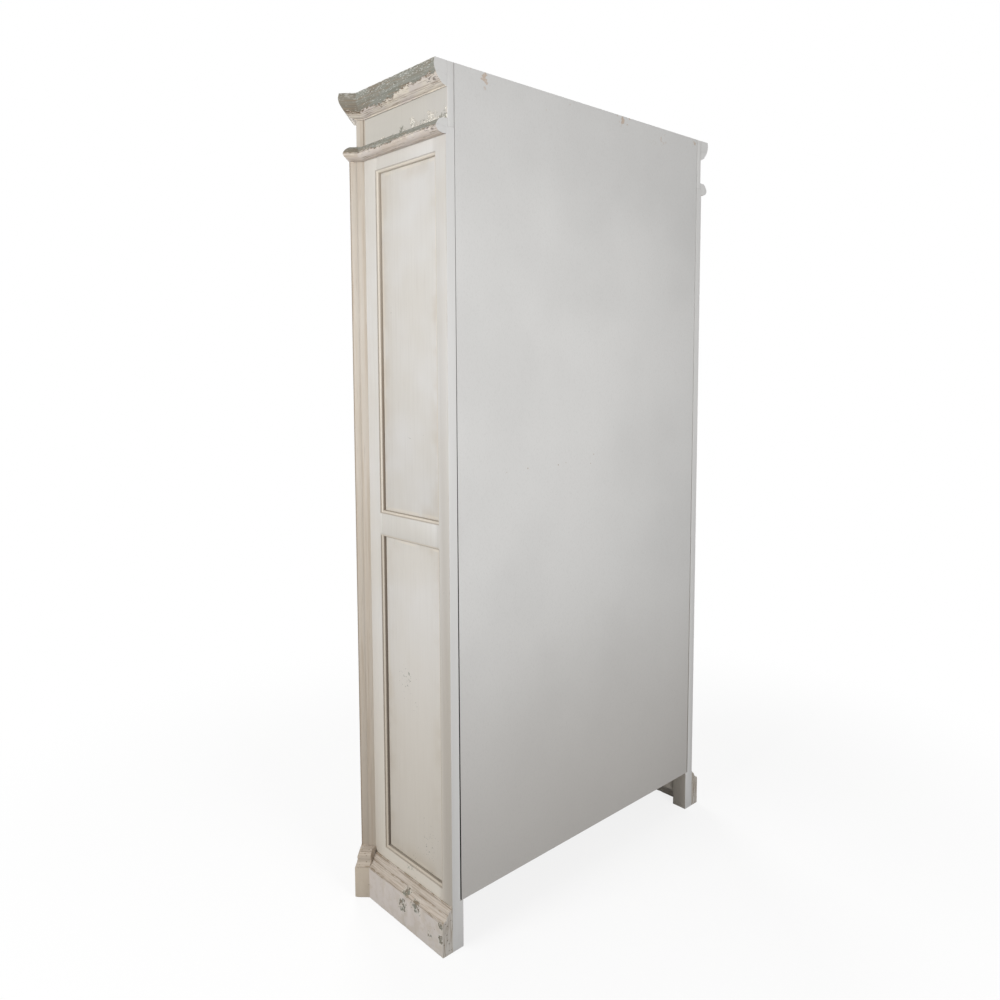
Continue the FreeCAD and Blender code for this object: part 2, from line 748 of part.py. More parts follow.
def make_doors(hinge_mortises, shank_hole, right_cuts, left_cuts):
    """Two framed doors with a tall upper and a lower sunk panel each."""
    rails = [
        (door_low, door_low + door_bottom_rail_height),
        (lower_field_high, upper_field_low),
        (door_high - door_top_rail_height, door_high),
    ]
    edges = (meeting_edge, hinge_edge)
    widths = (door_stile_width, door_stile_width)
    frame = panelled_frame(edges, widths, (door_low, door_high), rails, door_thickness)
    for pieces in frame:
        for piece in pieces:
            piece.translate(Vector(0, front_y, 0))
    stiles, rail_solids, panels = frame
    meeting = stiles[0].cut(shank_hole)
    nodes["door_meeting_stile_right"] = meeting.cut(right_cuts)
    nodes["door_meeting_stile_left"] = mirrored(meeting).cut(left_cuts)
    both_sides("door_hinge_stile", stiles[1].cut(hinge_mortises))
    nodes["door_rails_right"] = group([rail.cut(right_cuts) for rail in rail_solids])
    nodes["door_rails_left"] = mirrored(group(rail_solids))
    both_sides("door_lower_panel", panels[0])
    both_sides("door_upper_panel", panels[1])


store_moulding("plinth", carcass_path, plinth_outline)
store_moulding("waist_moulding", carcass_path, waist_outline)
store_moulding("cornice", frieze_path, cornice_outline)
make_boards()
make_sides()
make_frieze()
make_back_and_front_rail()
post_mortises, door_mortises = make_hinges()
make_posts(post_mortises)
make_key()
make_escutcheon()
make_rod_bolts()
make_doors(door_mortises, make_knob(), make_lock(), make_strike())

# The depth runs from the back to the foremost corner of the plinth or the cornice
foremost = min(shape.BoundBox.YMin for shape in nodes.values())
centring = Vector(0, -foremost / 2, 0)
os.makedirs("parts", exist_ok=True)
for name, shape in sorted(nodes.items()):
    shape.translate(centring)
    shape.exportStep("parts/%s.step" % name)
    print(name, len(shape.Solids), shape.isValid(), round(shape.Volume / 1000, 1))
print(len(nodes), "nodes, depth", round(-foremost, 2))
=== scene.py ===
# %% [markdown]
# This lesson dresses a tall cupboard: a painted carcass with panelled sides and doors, canted corner posts,
# a plinth, a waist moulding and a cornice. The joiner's model gives every piece at its real size, in metres.
# The mouldings are swept again here with finer sections, the boards get their rubbed arrises, and each finish
# is a material built from a few shared effects.

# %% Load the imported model
import bmesh
import bpy
import json
import math
from mathutils import Matrix, Vector


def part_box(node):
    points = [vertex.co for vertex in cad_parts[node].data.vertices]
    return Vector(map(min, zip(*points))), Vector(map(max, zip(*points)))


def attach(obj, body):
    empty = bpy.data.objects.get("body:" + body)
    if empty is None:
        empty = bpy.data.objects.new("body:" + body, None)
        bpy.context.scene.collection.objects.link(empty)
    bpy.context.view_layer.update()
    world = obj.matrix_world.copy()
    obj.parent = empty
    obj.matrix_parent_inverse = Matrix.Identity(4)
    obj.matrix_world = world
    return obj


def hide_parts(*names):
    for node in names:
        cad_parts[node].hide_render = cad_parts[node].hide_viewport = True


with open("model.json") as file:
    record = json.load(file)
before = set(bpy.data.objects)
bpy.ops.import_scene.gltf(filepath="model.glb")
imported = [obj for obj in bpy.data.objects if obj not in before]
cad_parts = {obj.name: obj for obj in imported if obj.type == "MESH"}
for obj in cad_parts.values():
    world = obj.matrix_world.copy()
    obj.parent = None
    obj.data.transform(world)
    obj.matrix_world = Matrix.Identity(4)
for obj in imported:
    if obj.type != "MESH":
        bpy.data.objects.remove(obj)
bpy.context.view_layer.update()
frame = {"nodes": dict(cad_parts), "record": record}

# %% [markdown]
# The photograph was taken from behind the cupboard, on its right, at about eye height. The camera's place,
# turn and lens follow from the edges of the real cupboard, and a small shift puts it in the frame as there.

# %% Camera
picture_size = 1000
focal_pixels = 820.8
centre_pixels = (468.0, 439.5)
camera_place = Vector((1.7977, 1.73622, 1.4747))
camera_yaw = math.radians(-131.321)
camera_pitch = math.radians(4.770)
camera_roll = math.radians(-0.390)

ahead = Vector((math.cos(camera_yaw), math.sin(camera_yaw), 0)) * math.cos(camera_pitch)
ahead.z = -math.sin(camera_pitch)
level_right = Vector((math.sin(camera_yaw), -math.cos(camera_yaw), 0))
level_up = level_right.cross(ahead)
right = level_right * math.cos(camera_roll) + level_up * math.sin(camera_roll)
above = level_up * math.cos(camera_roll) - level_right * math.sin(camera_roll)

camera_data = bpy.data.cameras.new("photo_camera")
camera_data.lens = focal_pixels * camera_data.sensor_width / picture_size
camera_data.shift_x = 0.5 - centre_pixels[0] / picture_size
camera_data.shift_y = centre_pixels[1] / picture_size - 0.5
camera = bpy.data.objects.new("photo_camera", camera_data)
turn = Matrix((right, above, -ahead)).transposed().to_4x4()
camera.matrix_world = Matrix.Translation(camera_place) @ turn
bpy.context.scene.collection.objects.link(camera)
bpy.context.scene.camera = camera
print("lens", round(camera_data.lens, 2), "mm")

# %% [markdown]
# A node tree is easier to read when one line adds a node, sets it and joins it. These helpers serve the
# materials, the effects that they share and the geometry trees alike.

# %% Helpers for node trees
def put(tree, kind, inputs=None, **settings):
    """Adds a node. Each input takes a plain value or the socket that feeds it."""
    node = tree.nodes.new(kind)
    for name, value in settings.items():
        setattr(node, name, value)
    for socket, value in (inputs or {}).items():
        if isinstance(value, bpy.types.NodeSocket):
            tree.links.new(value, node.inputs[socket])
        else:
            node.inputs[socket].default_value = value
    return node


def calc(tree, operation, *values, clamp=False):
    """A sum on single numbers."""
    inputs = dict(enumerate(values))
    return put(tree, "ShaderNodeMath", inputs, operation=operation, use_clamp=clamp).outputs[0]


def vector_calc(tree, operation, *values):
    """A sum on vectors."""
    return put(tree, "ShaderNodeVectorMath", dict(enumerate(values)), operation=operation).outputs[0]


def ramp(tree, value, low, high, to_low=0.0, to_high=1.0):
    """A smooth step of a value from one level to another."""
    inputs = {0: value, 1: low, 2: high, 3: to_low, 4: to_high}
    return put(tree, "ShaderNodeMapRange", inputs, interpolation_type="SMOOTHSTEP").outputs[0]


def tint(tree, factor, first, second, mode="MIX"):
    """One colour laid over another where the factor is high."""
    inputs = {0: factor, 6: first, 7: second}
    return put(tree, "ShaderNodeMix", inputs, data_type="RGBA", blend_type=mode).outputs[2]


def noise(tree, vector, scale, detail=3.0, roughness=0.55, distortion=0.0):
    """A cloudy pattern between about 0.3 and 0.7."""
    inputs = {"Vector": vector, "Scale": scale, "Detail": detail}
    inputs.update({"Roughness": roughness, "Distortion": distortion})
    return put(tree, "ShaderNodeTexNoise", inputs).outputs[0]


def parts(tree, vector):
    """The three numbers of a vector."""
    return put(tree, "ShaderNodeSeparateXYZ", {0: vector}).outputs


def joined(tree, x, y, z):
    """A vector from three numbers."""
    return put(tree, "ShaderNodeCombineXYZ", {0: x, 1: y, 2: z}).outputs[0]


def srgb(red, green, blue):
    """A colour read from a picture, 0 to 255, as the linear colour that a shader takes."""
    shares = [value / 255 for value in (red, green, blue)]
    linear = [s / 12.92 if s <= 0.04045 else ((s + 0.055) / 1.055) ** 2.4 for s in shares]
    return (*linear, 1.0)


def effect(name, inputs, outputs):
    """An empty shader node group with named sockets."""
    tree = bpy.data.node_groups.new(name, "ShaderNodeTree")
    for label, kind, value in inputs:
        socket = tree.interface.new_socket(label, in_out="INPUT", socket_type="NodeSocket" + kind)
        socket.default_value = value
    for label, kind in outputs:
        tree.interface.new_socket(label, in_out="OUTPUT", socket_type="NodeSocket" + kind)
    return tree, tree.nodes.new("NodeGroupInput").outputs, tree.nodes.new("NodeGroupOutput").inputs


def place(tree, group, **inputs):
    """Places a shared effect and fills its inputs, with an underscore for each space in their names."""
    node = put(tree, "ShaderNodeGroup", node_tree=group)
    for name, value in inputs.items():
        socket = node.inputs[name.replace("_", " ")]
        if isinstance(value, bpy.types.NodeSocket):
            tree.links.new(value, socket)
        else:
            socket.default_value = value
    return node.outputs


print("helpers ready")

# %% [markdown]
# Paint wears first along an arris, so the materials have to know how far a point is from one. On a board
# that is easy to work out: measure to the nearest limit along each axis. On a face one of the three is zero,
# so the middle one of the three is the distance to the nearest edge.

# %% Shared effect: distance to a board's edges
edge_effect, given, wanted = effect(
    "distance_to_arris",
    [("Position", "Vector", (0, 0, 0)), ("Low", "Vector", (-1, -1, -1)), ("High", "Vector", (1, 1, 1))],
    [("Distance", "Float")],
)
from_low = vector_calc(edge_effect, "SUBTRACT", given["Position"], given["Low"])
from_high = vector_calc(edge_effect, "SUBTRACT", given["High"], given["Position"])
nearest = parts(edge_effect, vector_calc(edge_effect, "MINIMUM", from_low, from_high))
smaller = calc(edge_effect, "MINIMUM", nearest[0], nearest[1])
larger = calc(edge_effect, "MAXIMUM", nearest[0], nearest[1])
middle = calc(edge_effect, "MAXIMUM", smaller, calc(edge_effect, "MINIMUM", larger, nearest[2]))
edge_effect.links.new(middle, wanted["Distance"])
print(edge_effect.name)

# %% [markdown]
# The dark lines round each sunk field lie in the quirk and in the corner between bead and panel. They are
# partly glaze, which stayed there when it was wiped off, and partly painted shade, where the steps down to
# the panel cast thin shadows. Both run at a fixed distance inside the field's outline, whose sides are the
# same for the upper and the lower field.

# %% Shared effect: distance inside the sunk fields
field_effect, given, wanted = effect(
    "inside_sunk_fields",
    [(name, "Float", 0.0) for name in ("Across", "Up", "Across Low", "Across High")]
    + [(name, "Float", 0.0) for name in ("Lower Low", "Lower High", "Upper Low", "Upper High")],
    [("Distance", "Float"), ("Upright", "Float")],
)


def inside(tree, value, low, high):
    """How far a value is inside two limits."""
    return calc(tree, "MINIMUM", calc(tree, "SUBTRACT", value, low), calc(tree, "SUBTRACT", high, value))


sideways = inside(field_effect, given["Across"], given["Across Low"], given["Across High"])
lower_field = inside(field_effect, given["Up"], given["Lower Low"], given["Lower High"])
upper_field = inside(field_effect, given["Up"], given["Upper Low"], given["Upper High"])
upright = calc(field_effect, "MAXIMUM", lower_field, upper_field)
field_effect.links.new(calc(field_effect, "MINIMUM", sideways, upright), wanted["Distance"])
field_effect.links.new(calc(field_effect, "LESS_THAN", sideways, upright), wanted["Upright"])
print(field_effect.name)

# %% [markdown]
# A painted line is a soft band at one distance, and it is never even: like wiped glaze, it is strong in one
# place and nearly gone in another. A slow noise along the line does that. It draws lines of glaze, wear and
# dirt, and painted shade and a painted highlight.

# %% Shared effect: a broken line at a distance
line_effect, given, wanted = effect(
    "broken_line",
    [("Distance", "Float", 0.0), ("At", "Float", 0.0), ("Half Width", "Float", 0.001),
     ("Vector", "Vector", (0, 0, 0)), ("Scale", "Float", 12.0), ("Fullness", "Float", 0.5)],
    [("Mask", "Float")],
)
away = calc(line_effect, "ABSOLUTE", calc(line_effect, "SUBTRACT", given["Distance"], given["At"]))
ragged = noise(line_effect, given["Vector"], given["Scale"], 4.0, 0.6)
fine = noise(line_effect, given["Vector"], 420.0, 2.0)
width = calc(line_effect, "MULTIPLY", given["Half Width"], calc(line_effect, "ADD", fine, 0.5))
band = calc(line_effect, "SUBTRACT", 1.0, calc(line_effect, "DIVIDE", away, width), clamp=True)
strength = calc(line_effect, "ADD", ragged, calc(line_effect, "SUBTRACT", given["Fullness"], 0.5))
presence = ramp(line_effect, strength, 0.35, 0.6)
line_effect.links.new(calc(line_effect, "MULTIPLY", band, presence), wanted["Mask"])
print(line_effect.name)

# %% [markdown]
# Flaking paint comes off in clusters of small jagged patches. A slow noise says where a cluster is, a fine
# one cuts its ragged outline, and their sum is compared with one level. Just outside the level lies the
# lifted rim, which holds dirt.

# %% Shared effect: flaked paint
flake_effect, given, wanted = effect(
    "flaked_paint",
    [("Vector", "Vector", (0, 0, 0)), ("Amount", "Float", 0.0), ("Cluster Scale", "Float", 9.0),
     ("Flake Scale", "Float", 90.0)],
    [("Bare", "Float"), ("Rim", "Float"), ("Height", "Float")],
)
cluster = noise(flake_effect, given["Vector"], given["Cluster Scale"], 2.0)
jagged = noise(flake_effect, given["Vector"], given["Flake Scale"], 5.0, 0.62)
weighed = calc(flake_effect, "MULTIPLY_ADD", cluster, 0.55, calc(flake_effect, "MULTIPLY", jagged, 0.45))
level = calc(flake_effect, "ADD", weighed, given["Amount"])
bare = ramp(flake_effect, level, 0.600, 0.612)
lifted = calc(flake_effect, "SUBTRACT", ramp(flake_effect, level, 0.578, 0.600), bare, clamp=True)
flake_effect.links.new(bare, wanted["Bare"])
flake_effect.links.new(lifted, wanted["Rim"])
flake_effect.links.new(calc(flake_effect, "SUBTRACT", 1.0, bare), wanted["Height"])
print(flake_effect.name)

# %% [markdown]
# Brush marks and the grain that shows through thin paint are both long and narrow. One stretched noise makes
# the marks, and a second, sharper one picks out a few darker pores.

# %% Shared effect: brush strokes and grain
stroke_effect, given, wanted = effect(
    "brush_and_grain",
    [("Vector", "Vector", (0, 0, 0)), ("Along", "Vector", (260, 260, 6))],
    [("Stroke", "Float"), ("Pores", "Float")],
)
drawn = vector_calc(stroke_effect, "MULTIPLY", given["Vector"], given["Along"])
stroke = noise(stroke_effect, drawn, 1.0, 4.0, 0.6)
pores = ramp(stroke_effect, noise(stroke_effect, drawn, 2.3, 2.0, 0.5), 0.60, 0.72)
stroke_effect.links.new(stroke, wanted["Stroke"])
stroke_effect.links.new(pores, wanted["Pores"])
print(stroke_effect.name)

# %% [markdown]
# Small dark specks are flicked on when such furniture is aged. Each cell of a Voronoi pattern holds one
# speck, and the cell's own random colour decides whether it is there and how large it is.

# %% Shared effect: flicked specks
speck_effect, given, wanted = effect(
    "flicked_specks",
    [("Vector", "Vector", (0, 0, 0)), ("Scale", "Float", 30.0), ("Size", "Float", 0.12),
     ("Share", "Float", 0.2)],
    [("Mask", "Float")],
)
cells = put(speck_effect, "ShaderNodeTexVoronoi", {"Vector": given["Vector"], "Scale": given["Scale"]})
chance = parts(speck_effect, cells.outputs["Color"])
chosen = calc(speck_effect, "LESS_THAN", chance[0], given["Share"])
radius = calc(speck_effect, "MULTIPLY", given["Size"], calc(speck_effect, "ADD", chance[1], 0.25))
share_out = calc(speck_effect, "DIVIDE", cells.outputs["Distance"], radius)
soft = calc(speck_effect, "SUBTRACT", 1.0, share_out, clamp=True)
spot = ramp(speck_effect, soft, 0.0, 0.35)
speck_effect.links.new(calc(speck_effect, "MULTIPLY", spot, chosen), wanted["Mask"])
print(speck_effect.name)

# %% [markdown]
# The colours were read from the photograph's plain areas: a cool off-white, a beige glaze, brown where the
# glaze is thick, a grey-green undercoat on the mouldings, and the light grey of the back.

# %% Colours and sizes from the frame
cool_white = srgb(213, 211, 208)
warm_white = srgb(207, 203, 196)
pale_cream = srgb(224, 215, 200)
cream = srgb(208, 198, 182)
beige = srgb(188, 175, 156)
glaze_brown = srgb(142, 125, 104)
brown = srgb(118, 100, 82)
dark_brown = srgb(70, 58, 48)
grey_green = srgb(130, 130, 119)
blue_grey = srgb(145, 146, 138)
earth_grey = srgb(124, 114, 99)
rosy_cream = srgb(209, 200, 193)
back_grey = srgb(214, 213, 211)
back_shade = srgb(206, 205, 203)
bare_wood = srgb(168, 140, 106)
# The near-black below is painted shade for the narrow gap beside the back.
gap_shade_dark = srgb(34, 30, 27)

rear_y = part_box("back_panel")[1].y
rebate_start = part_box("side_rear_stile_right")[0].x
back_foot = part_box("back_panel")[0].z
half_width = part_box("side_rear_stile_right")[1].x
post_low, post_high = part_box("corner_post_right")
top_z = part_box("cornice_front")[1].z
door_low, door_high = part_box("door_hinge_stile_right")
print("half width", round(half_width, 4), "rear", round(rear_y, 4), "top", round(top_z, 4))

# %% [markdown]
# Every painted material begins alike: an own colour, slow patches, brush strokes and a fine bump. This
# function lays those, and each finish adds what is its own before the surface is closed. A stain is one more
# colour, laid where all its masks are high.

# %% Start and end of a painted material
def start_finish(name):
    """A new material with an empty surface, and its object coordinates."""
    material = bpy.data.materials.new(name)
    material.use_nodes = True
    tree = material.node_tree
    tree.nodes.clear()
    position = put(tree, "ShaderNodeTexCoord").outputs["Object"]
    return material, tree, position


def times(tree, *values):
    """The product of several masks."""
    product = values[0]
    for value in values[1:]:
        product = calc(tree, "MULTIPLY", product, value)
    return product


def stain(tree, colour, other, *masks):
    """Another colour laid over a surface where all the masks are high."""
    return tint(tree, times(tree, *masks), colour, other)


def mirrored_place(tree, position):
    """The object coordinates with the left half folded onto the right one."""
    x, y, z = parts(tree, position)
    return joined(tree, calc(tree, "ABSOLUTE", x), y, z)


def end_finish(material, tree, colour, roughness, height, bump_distance=0.0004, metallic=0.0):
    """Joins colour, roughness and bump to the surface."""
    bump = put(tree, "ShaderNodeBump", {"Height": height, "Distance": bump_distance, "Strength": 0.6})
    inputs = {"Base Color": colour, "Roughness": roughness, "Metallic": metallic, "Normal": bump.outputs[0]}
    surface = put(tree, "ShaderNodeBsdfPrincipled", inputs)
    put(tree, "ShaderNodeOutputMaterial", {0: surface.outputs[0]})
    print("finish", material.name)
    return material


def painted_ground(tree, position, light, shade, along, streak=0.05):
    """Slow patches of two paint tones, with brush strokes. Returns the colour, strokes and pores."""
    patches = ramp(tree, noise(tree, position, 2.6, 3.0), 0.38, 0.62)
    strokes = place(tree, stroke_effect, Vector=position, Along=along)
    colour = tint(tree, patches, light, shade)
    darker = ramp(tree, strokes["Stroke"], 0.45, 0.75, 0.0, streak)
    return tint(tree, darker, colour, brown), strokes["Stroke"], strokes["Pores"]


rear_paint_depth = 0.0008
rear_paint_end = 0.0001


def grey_rear(tree, position, colour, rear_colour):
    """The rear edges have the back's grey, or another colour."""
    y = parts(tree, position)[1]
    return tint(tree, ramp(tree, y, rear_y - rear_paint_depth, rear_y - rear_paint_end), colour, rear_colour)


def painted_gap_shade(tree, position, colour, within):
    """Painted shade in the narrow gap beside the back, black near the floor and faint near the top."""
    z = parts(tree, position)[2]
    return stain(tree, colour, gap_shade_dark, within, ramp(tree, z, 1.75, 0.8, 0.15, 1.0))


rear_rebate_depth = 0.0125
rear_edge_width = 0.026
upright_grain = (260.0, 260.0, 6.0)
streaky_grain = (150.0, 150.0, 4.0)
level_grain = (6.0, 6.0, 260.0)
print("paint helpers ready")

# %% [markdown]
# Sides and doors share one finish. Round each sunk field the colours lie in a fixed order: a brown line in
# the quirk, a cream bead, a brown line in the corner between bead and panel, a pale painted highlight just
# beyond it, and a beige blush on the panel's border. Both brown lines are partly glaze and partly painted
# shade. The upright lines are stronger than the level ones, and all of it is darker towards the floor.

# %% Glaze, painted shade and highlight round a sunk field
bead_width = 0.008
quirk_at = 0.0012
quirk_half_width = 0.0024
blush_reach = 0.06
lower_field_low = 0.151
lower_field_high = 1.039
upper_field_low = 1.095
side_field_high = 1.997
low_bead = srgb(193, 182, 166)


def field_glaze_shade_and_highlight(tree, position, colour, sunk, z):
    """Blush, painted highlight, bead, quirk and inner corner at their distances inside a field's outline; the
    quirk and corner lines are partly painted shade.
    """
    field = sunk["Distance"]
    weight = calc(tree, "MULTIPLY_ADD", sunk["Upright"], 0.25, 0.75)
    lower_down = ramp(tree, z, 1.6, 0.2)
    lines_weaker_at_top = ramp(tree, z, 2.0, 1.2, 0.55, 1.0)
    off_bead = ramp(tree, field, bead_width, bead_width + 0.001)
    blush = ramp(tree, noise(tree, position, 9.0), 0.45, 0.65, 0.0, 0.35)
    colour = stain(tree, colour, beige, ramp(tree, field, blush_reach, bead_width), blush, off_bead)
    # A pale band on the panel just beyond the corner line is a painted highlight.
    pale_highlight_band = place(tree, line_effect, Distance=field, At=bead_width + 0.005, Half_Width=0.006, Vector=position)
    colour = stain(tree, colour, pale_cream, pale_highlight_band["Mask"], 0.6)
    on_bead = times(tree, ramp(tree, field, 0.001, 0.003), calc(tree, "SUBTRACT", 1.0, off_bead))
    colour = stain(tree, colour, tint(tree, lower_down, pale_cream, low_bead), on_bead, 0.8)
    # The quirk line is partly glaze and partly painted shade, the thin shadow in the quirk.
    quirk = place(tree, line_effect, Distance=field, At=quirk_at, Half_Width=quirk_half_width,
                  Vector=position, Fullness=0.8)
    from_top = calc(tree, "ABSOLUTE", calc(tree, "SUBTRACT", z, lower_field_high))
    off_lower_top = ramp(tree, from_top, 0.003, 0.006, 0.15)
    quirk_tone = tint(tree, lower_down, glaze_brown, brown)
    colour = stain(tree, colour, quirk_tone, quirk["Mask"], weight, off_lower_top, lines_weaker_at_top)
    # The corner line is partly glaze and partly painted shade, where the step down to the panel casts a
    # shadow.
    corner_width = calc(tree, "MULTIPLY_ADD", sunk["Upright"], 0.001, 0.0012)
    corner = place(tree, line_effect, Distance=field, At=bead_width - 0.0004, Half_Width=corner_width,
                   Vector=position, Fullness=0.85)
    corner_tone = tint(tree, lower_down, brown, dark_brown)
    return stain(tree, colour, corner_tone, corner["Mask"], weight, lines_weaker_at_top)


print("field glaze ready, bead", bead_width)

# %% [markdown]
# The rest of the frame is off-white paint that turns creamy towards the floor, with rubbed arrises, small
# flakes and a few flicked specks. The rear stiles are darker and greyer low down, which is painted shade, and
# the rebate beside the back gets painted shade as well. One function serves sides and doors: it takes the
# axis that runs across the frame and the limits of its fields.

# %% Finish of the panelled frames
front_stile_width = 0.049
rear_stile_width = 0.040
door_stile_width = 0.066
door_bottom_rail = 0.092
door_top_rail = 0.078
meeting_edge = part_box("door_meeting_stile_right")[0].x
arris_half_width = 0.003
rebate_clearance = 0.0005
far_off = 9.0
low_rear_stile_shade = srgb(182, 175, 165)


def frame_finish(name, across_axis, across_limits, field_heights, arris_low, arris_high):
    """Paint for a frame with two sunk fields."""
    material, tree, position = start_finish(name)
    folded = mirrored_place(tree, position)
    x, y, z = parts(tree, folded)
    limits = dict(zip(("Across_Low", "Across_High"), across_limits))
    limits.update(zip(("Lower_Low", "Lower_High", "Upper_Low", "Upper_High"), field_heights))
    sunk = place(tree, field_effect, Across=(x, y)[across_axis], Up=z, **limits)
    colour, stroke, pores = painted_ground(tree, position, cool_white, warm_white, upright_grain)
    colour = stain(tree, colour, cream, ramp(tree, z, 1.1, 0.3, 0.0, 0.6))
    # Painted shade: the rear stiles are darker and greyer low down.
    rear_stile = ramp(tree, y, rear_y - 0.06, rear_y - 0.02)
    colour = stain(tree, colour, low_rear_stile_shade, ramp(tree, z, 1.9, 0.1, 0.15, 1.0), rear_stile)
    colour = field_glaze_shade_and_highlight(tree, position, colour, sunk, z)
    arris = place(tree, edge_effect, Position=folded, Low=arris_low, High=arris_high)["Distance"]
    rubbed = place(tree, line_effect, Distance=arris, At=0.0, Half_Width=arris_half_width, Vector=position,
                   Scale=8.0, Fullness=0.45)
    colour = stain(tree, colour, glaze_brown, rubbed["Mask"], 0.6)
    flakes = place(tree, flake_effect, Vector=position, Amount=-0.06, Cluster_Scale=4.0, Flake_Scale=120.0)
    colour = stain(tree, colour, grey_green, flakes["Bare"], 0.9)
    drawn_up = vector_calc(tree, "MULTIPLY", position, (1.0, 1.0, 0.4))
    specks = place(tree, speck_effect, Vector=drawn_up, Scale=22.0, Size=0.06, Share=0.16)["Mask"]
    colour = stain(tree, colour, brown, specks, 0.75)
    colour = stain(tree, colour, glaze_brown, pores, 0.05)
    colour = grey_rear(tree, position, colour, back_grey)
    # The rebate faces in the gap beside the back get painted shade.
    rebate_end = half_width - rear_edge_width - rebate_clearance
    in_rebate = calc(tree, "GREATER_THAN", inside(tree, x, rebate_start, rebate_end), 0.0)
    deep = calc(tree, "GREATER_THAN", y, rear_y - rear_rebate_depth)
    over_foot = calc(tree, "GREATER_THAN", z, back_foot)
    colour = painted_gap_shade(tree, position, colour, times(tree, in_rebate, deep, over_foot))
    height = calc(tree, "MULTIPLY_ADD", flakes["Height"], 0.6, times(tree, stroke, 0.4))
    return end_finish(material, tree, colour, ramp(tree, stroke, 0.3, 0.7, 0.5, 0.68), height)


side_finish = frame_finish(
    "side_paint", 1,
    (post_high.y + front_stile_width, rear_y - rear_stile_width),
    (lower_field_low, lower_field_high, upper_field_low, side_field_high),
    (-far_off, -far_off, -far_off), (half_width, rear_y, far_off),
)
door_finish = frame_finish(
    "door_paint", 0,
    (meeting_edge + door_stile_width, door_high.x - door_stile_width),
    (door_low.z + door_bottom_rail, lower_field_high, upper_field_low, door_high.z - door_top_rail),
    (meeting_edge, door_low.y, door_low.z), (door_high.x, door_high.y, door_high.z),
)

# %% [markdown]
# The corner posts are canted. Turning the coordinates by 45 degrees makes the post and its pilaster plain
# boards again, so the same distance effect serves them.

# %% The canted corner
post_leg = post_high.x - half_width
corner_outer = Vector((post_high.x, post_high.y - post_leg))
face_leg = corner_outer.y - post_low.y
corner_inner = corner_outer - Vector((face_leg, face_leg))
pilaster_thickness = 0.019
waist_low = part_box("waist_moulding_front")[0].z
waist_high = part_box("waist_moulding_front")[1].z


def canted(x, y):
    """Turns a plan point by 45 degrees: first outwards from the corner, then along its face."""
    return (x - y) / math.sqrt(2), (x + y) / math.sqrt(2)


def canted_place(tree, position):
    """The same turn for the coordinates of a material."""
    x, y, z = parts(tree, mirrored_place(tree, position))
    share = math.sqrt(0.5)
    outward = calc(tree, "MULTIPLY", calc(tree, "SUBTRACT", x, y), share)
    along_face = calc(tree, "MULTIPLY", calc(tree, "ADD", x, y), share)
    return joined(tree, outward, along_face, z)


print("canted face", round(face_leg * math.sqrt(2), 4), "wide")

# %% [markdown]
# The canted faces are darker than the flat ones: a beige glaze with upright brown grain, partly painted
# shade, that gets darker towards the floor. The arris towards the front is rubbed to the undercoat, and the
# other has only a soft brown line. Above the waist moulding the frieze's paint has crumbled: white crumbs and
# grey-green ones, in a band that is higher towards the rear.

# %% Glaze, painted shade and wear of the posts, pilasters and frieze
cant_glaze_and_shade = srgb(199, 187, 172)
crumb_white = srgb(226, 222, 212)
crumb_band_front = 0.006
crumb_band_rear = 0.04


def glaze_and_painted_shade(tree, position, colour, pores, on_cant, glaze_and_shade_share):
    """Beige glaze over upright grain, partly painted shade, darker towards the floor."""
    z = parts(tree, position)[2]
    grain = place(tree, stroke_effect, Vector=position, Along=streaky_grain)["Stroke"]
    # The beige on the canted face is partly glaze and partly painted shade that keeps it darker than the flat
    # faces.
    colour = stain(tree, colour, cant_glaze_and_shade, ramp(tree, grain, 0.38, 0.66, 0.6, 1.0), on_cant, glaze_and_shade_share)
    colour = stain(tree, colour, glaze_brown, ramp(tree, grain, 0.52, 0.7), on_cant, 0.25)
    colour = stain(tree, colour, glaze_brown, ramp(tree, z, 1.5, 0.1, 0.0, 0.36), on_cant)
    return stain(tree, colour, glaze_brown, pores, calc(tree, "MULTIPLY_ADD", on_cant, 0.2, 0.05))


def rubbed_corner(tree, position, colour, arris, towards_front):
    """The arris worn to the undercoat, with dark brown in its deepest places. Returns the mask too."""
    rubbed = place(tree, line_effect, Distance=arris, At=0.0, Half_Width=0.0052, Vector=position,
                   Scale=9.0, Fullness=0.68)["Mask"]
    colour = stain(tree, colour, grey_green, rubbed, towards_front, 1.2)
    deep = place(tree, line_effect, Distance=arris, At=0.0, Half_Width=0.0034, Vector=position,
                 Scale=31.0, Fullness=0.6)["Mask"]
    colour = stain(tree, colour, dark_brown, deep, towards_front, 1.3)
    towards_side = calc(tree, "SUBTRACT", 1.0, towards_front)
    return stain(tree, colour, glaze_brown, rubbed, towards_side, 0.35), rubbed


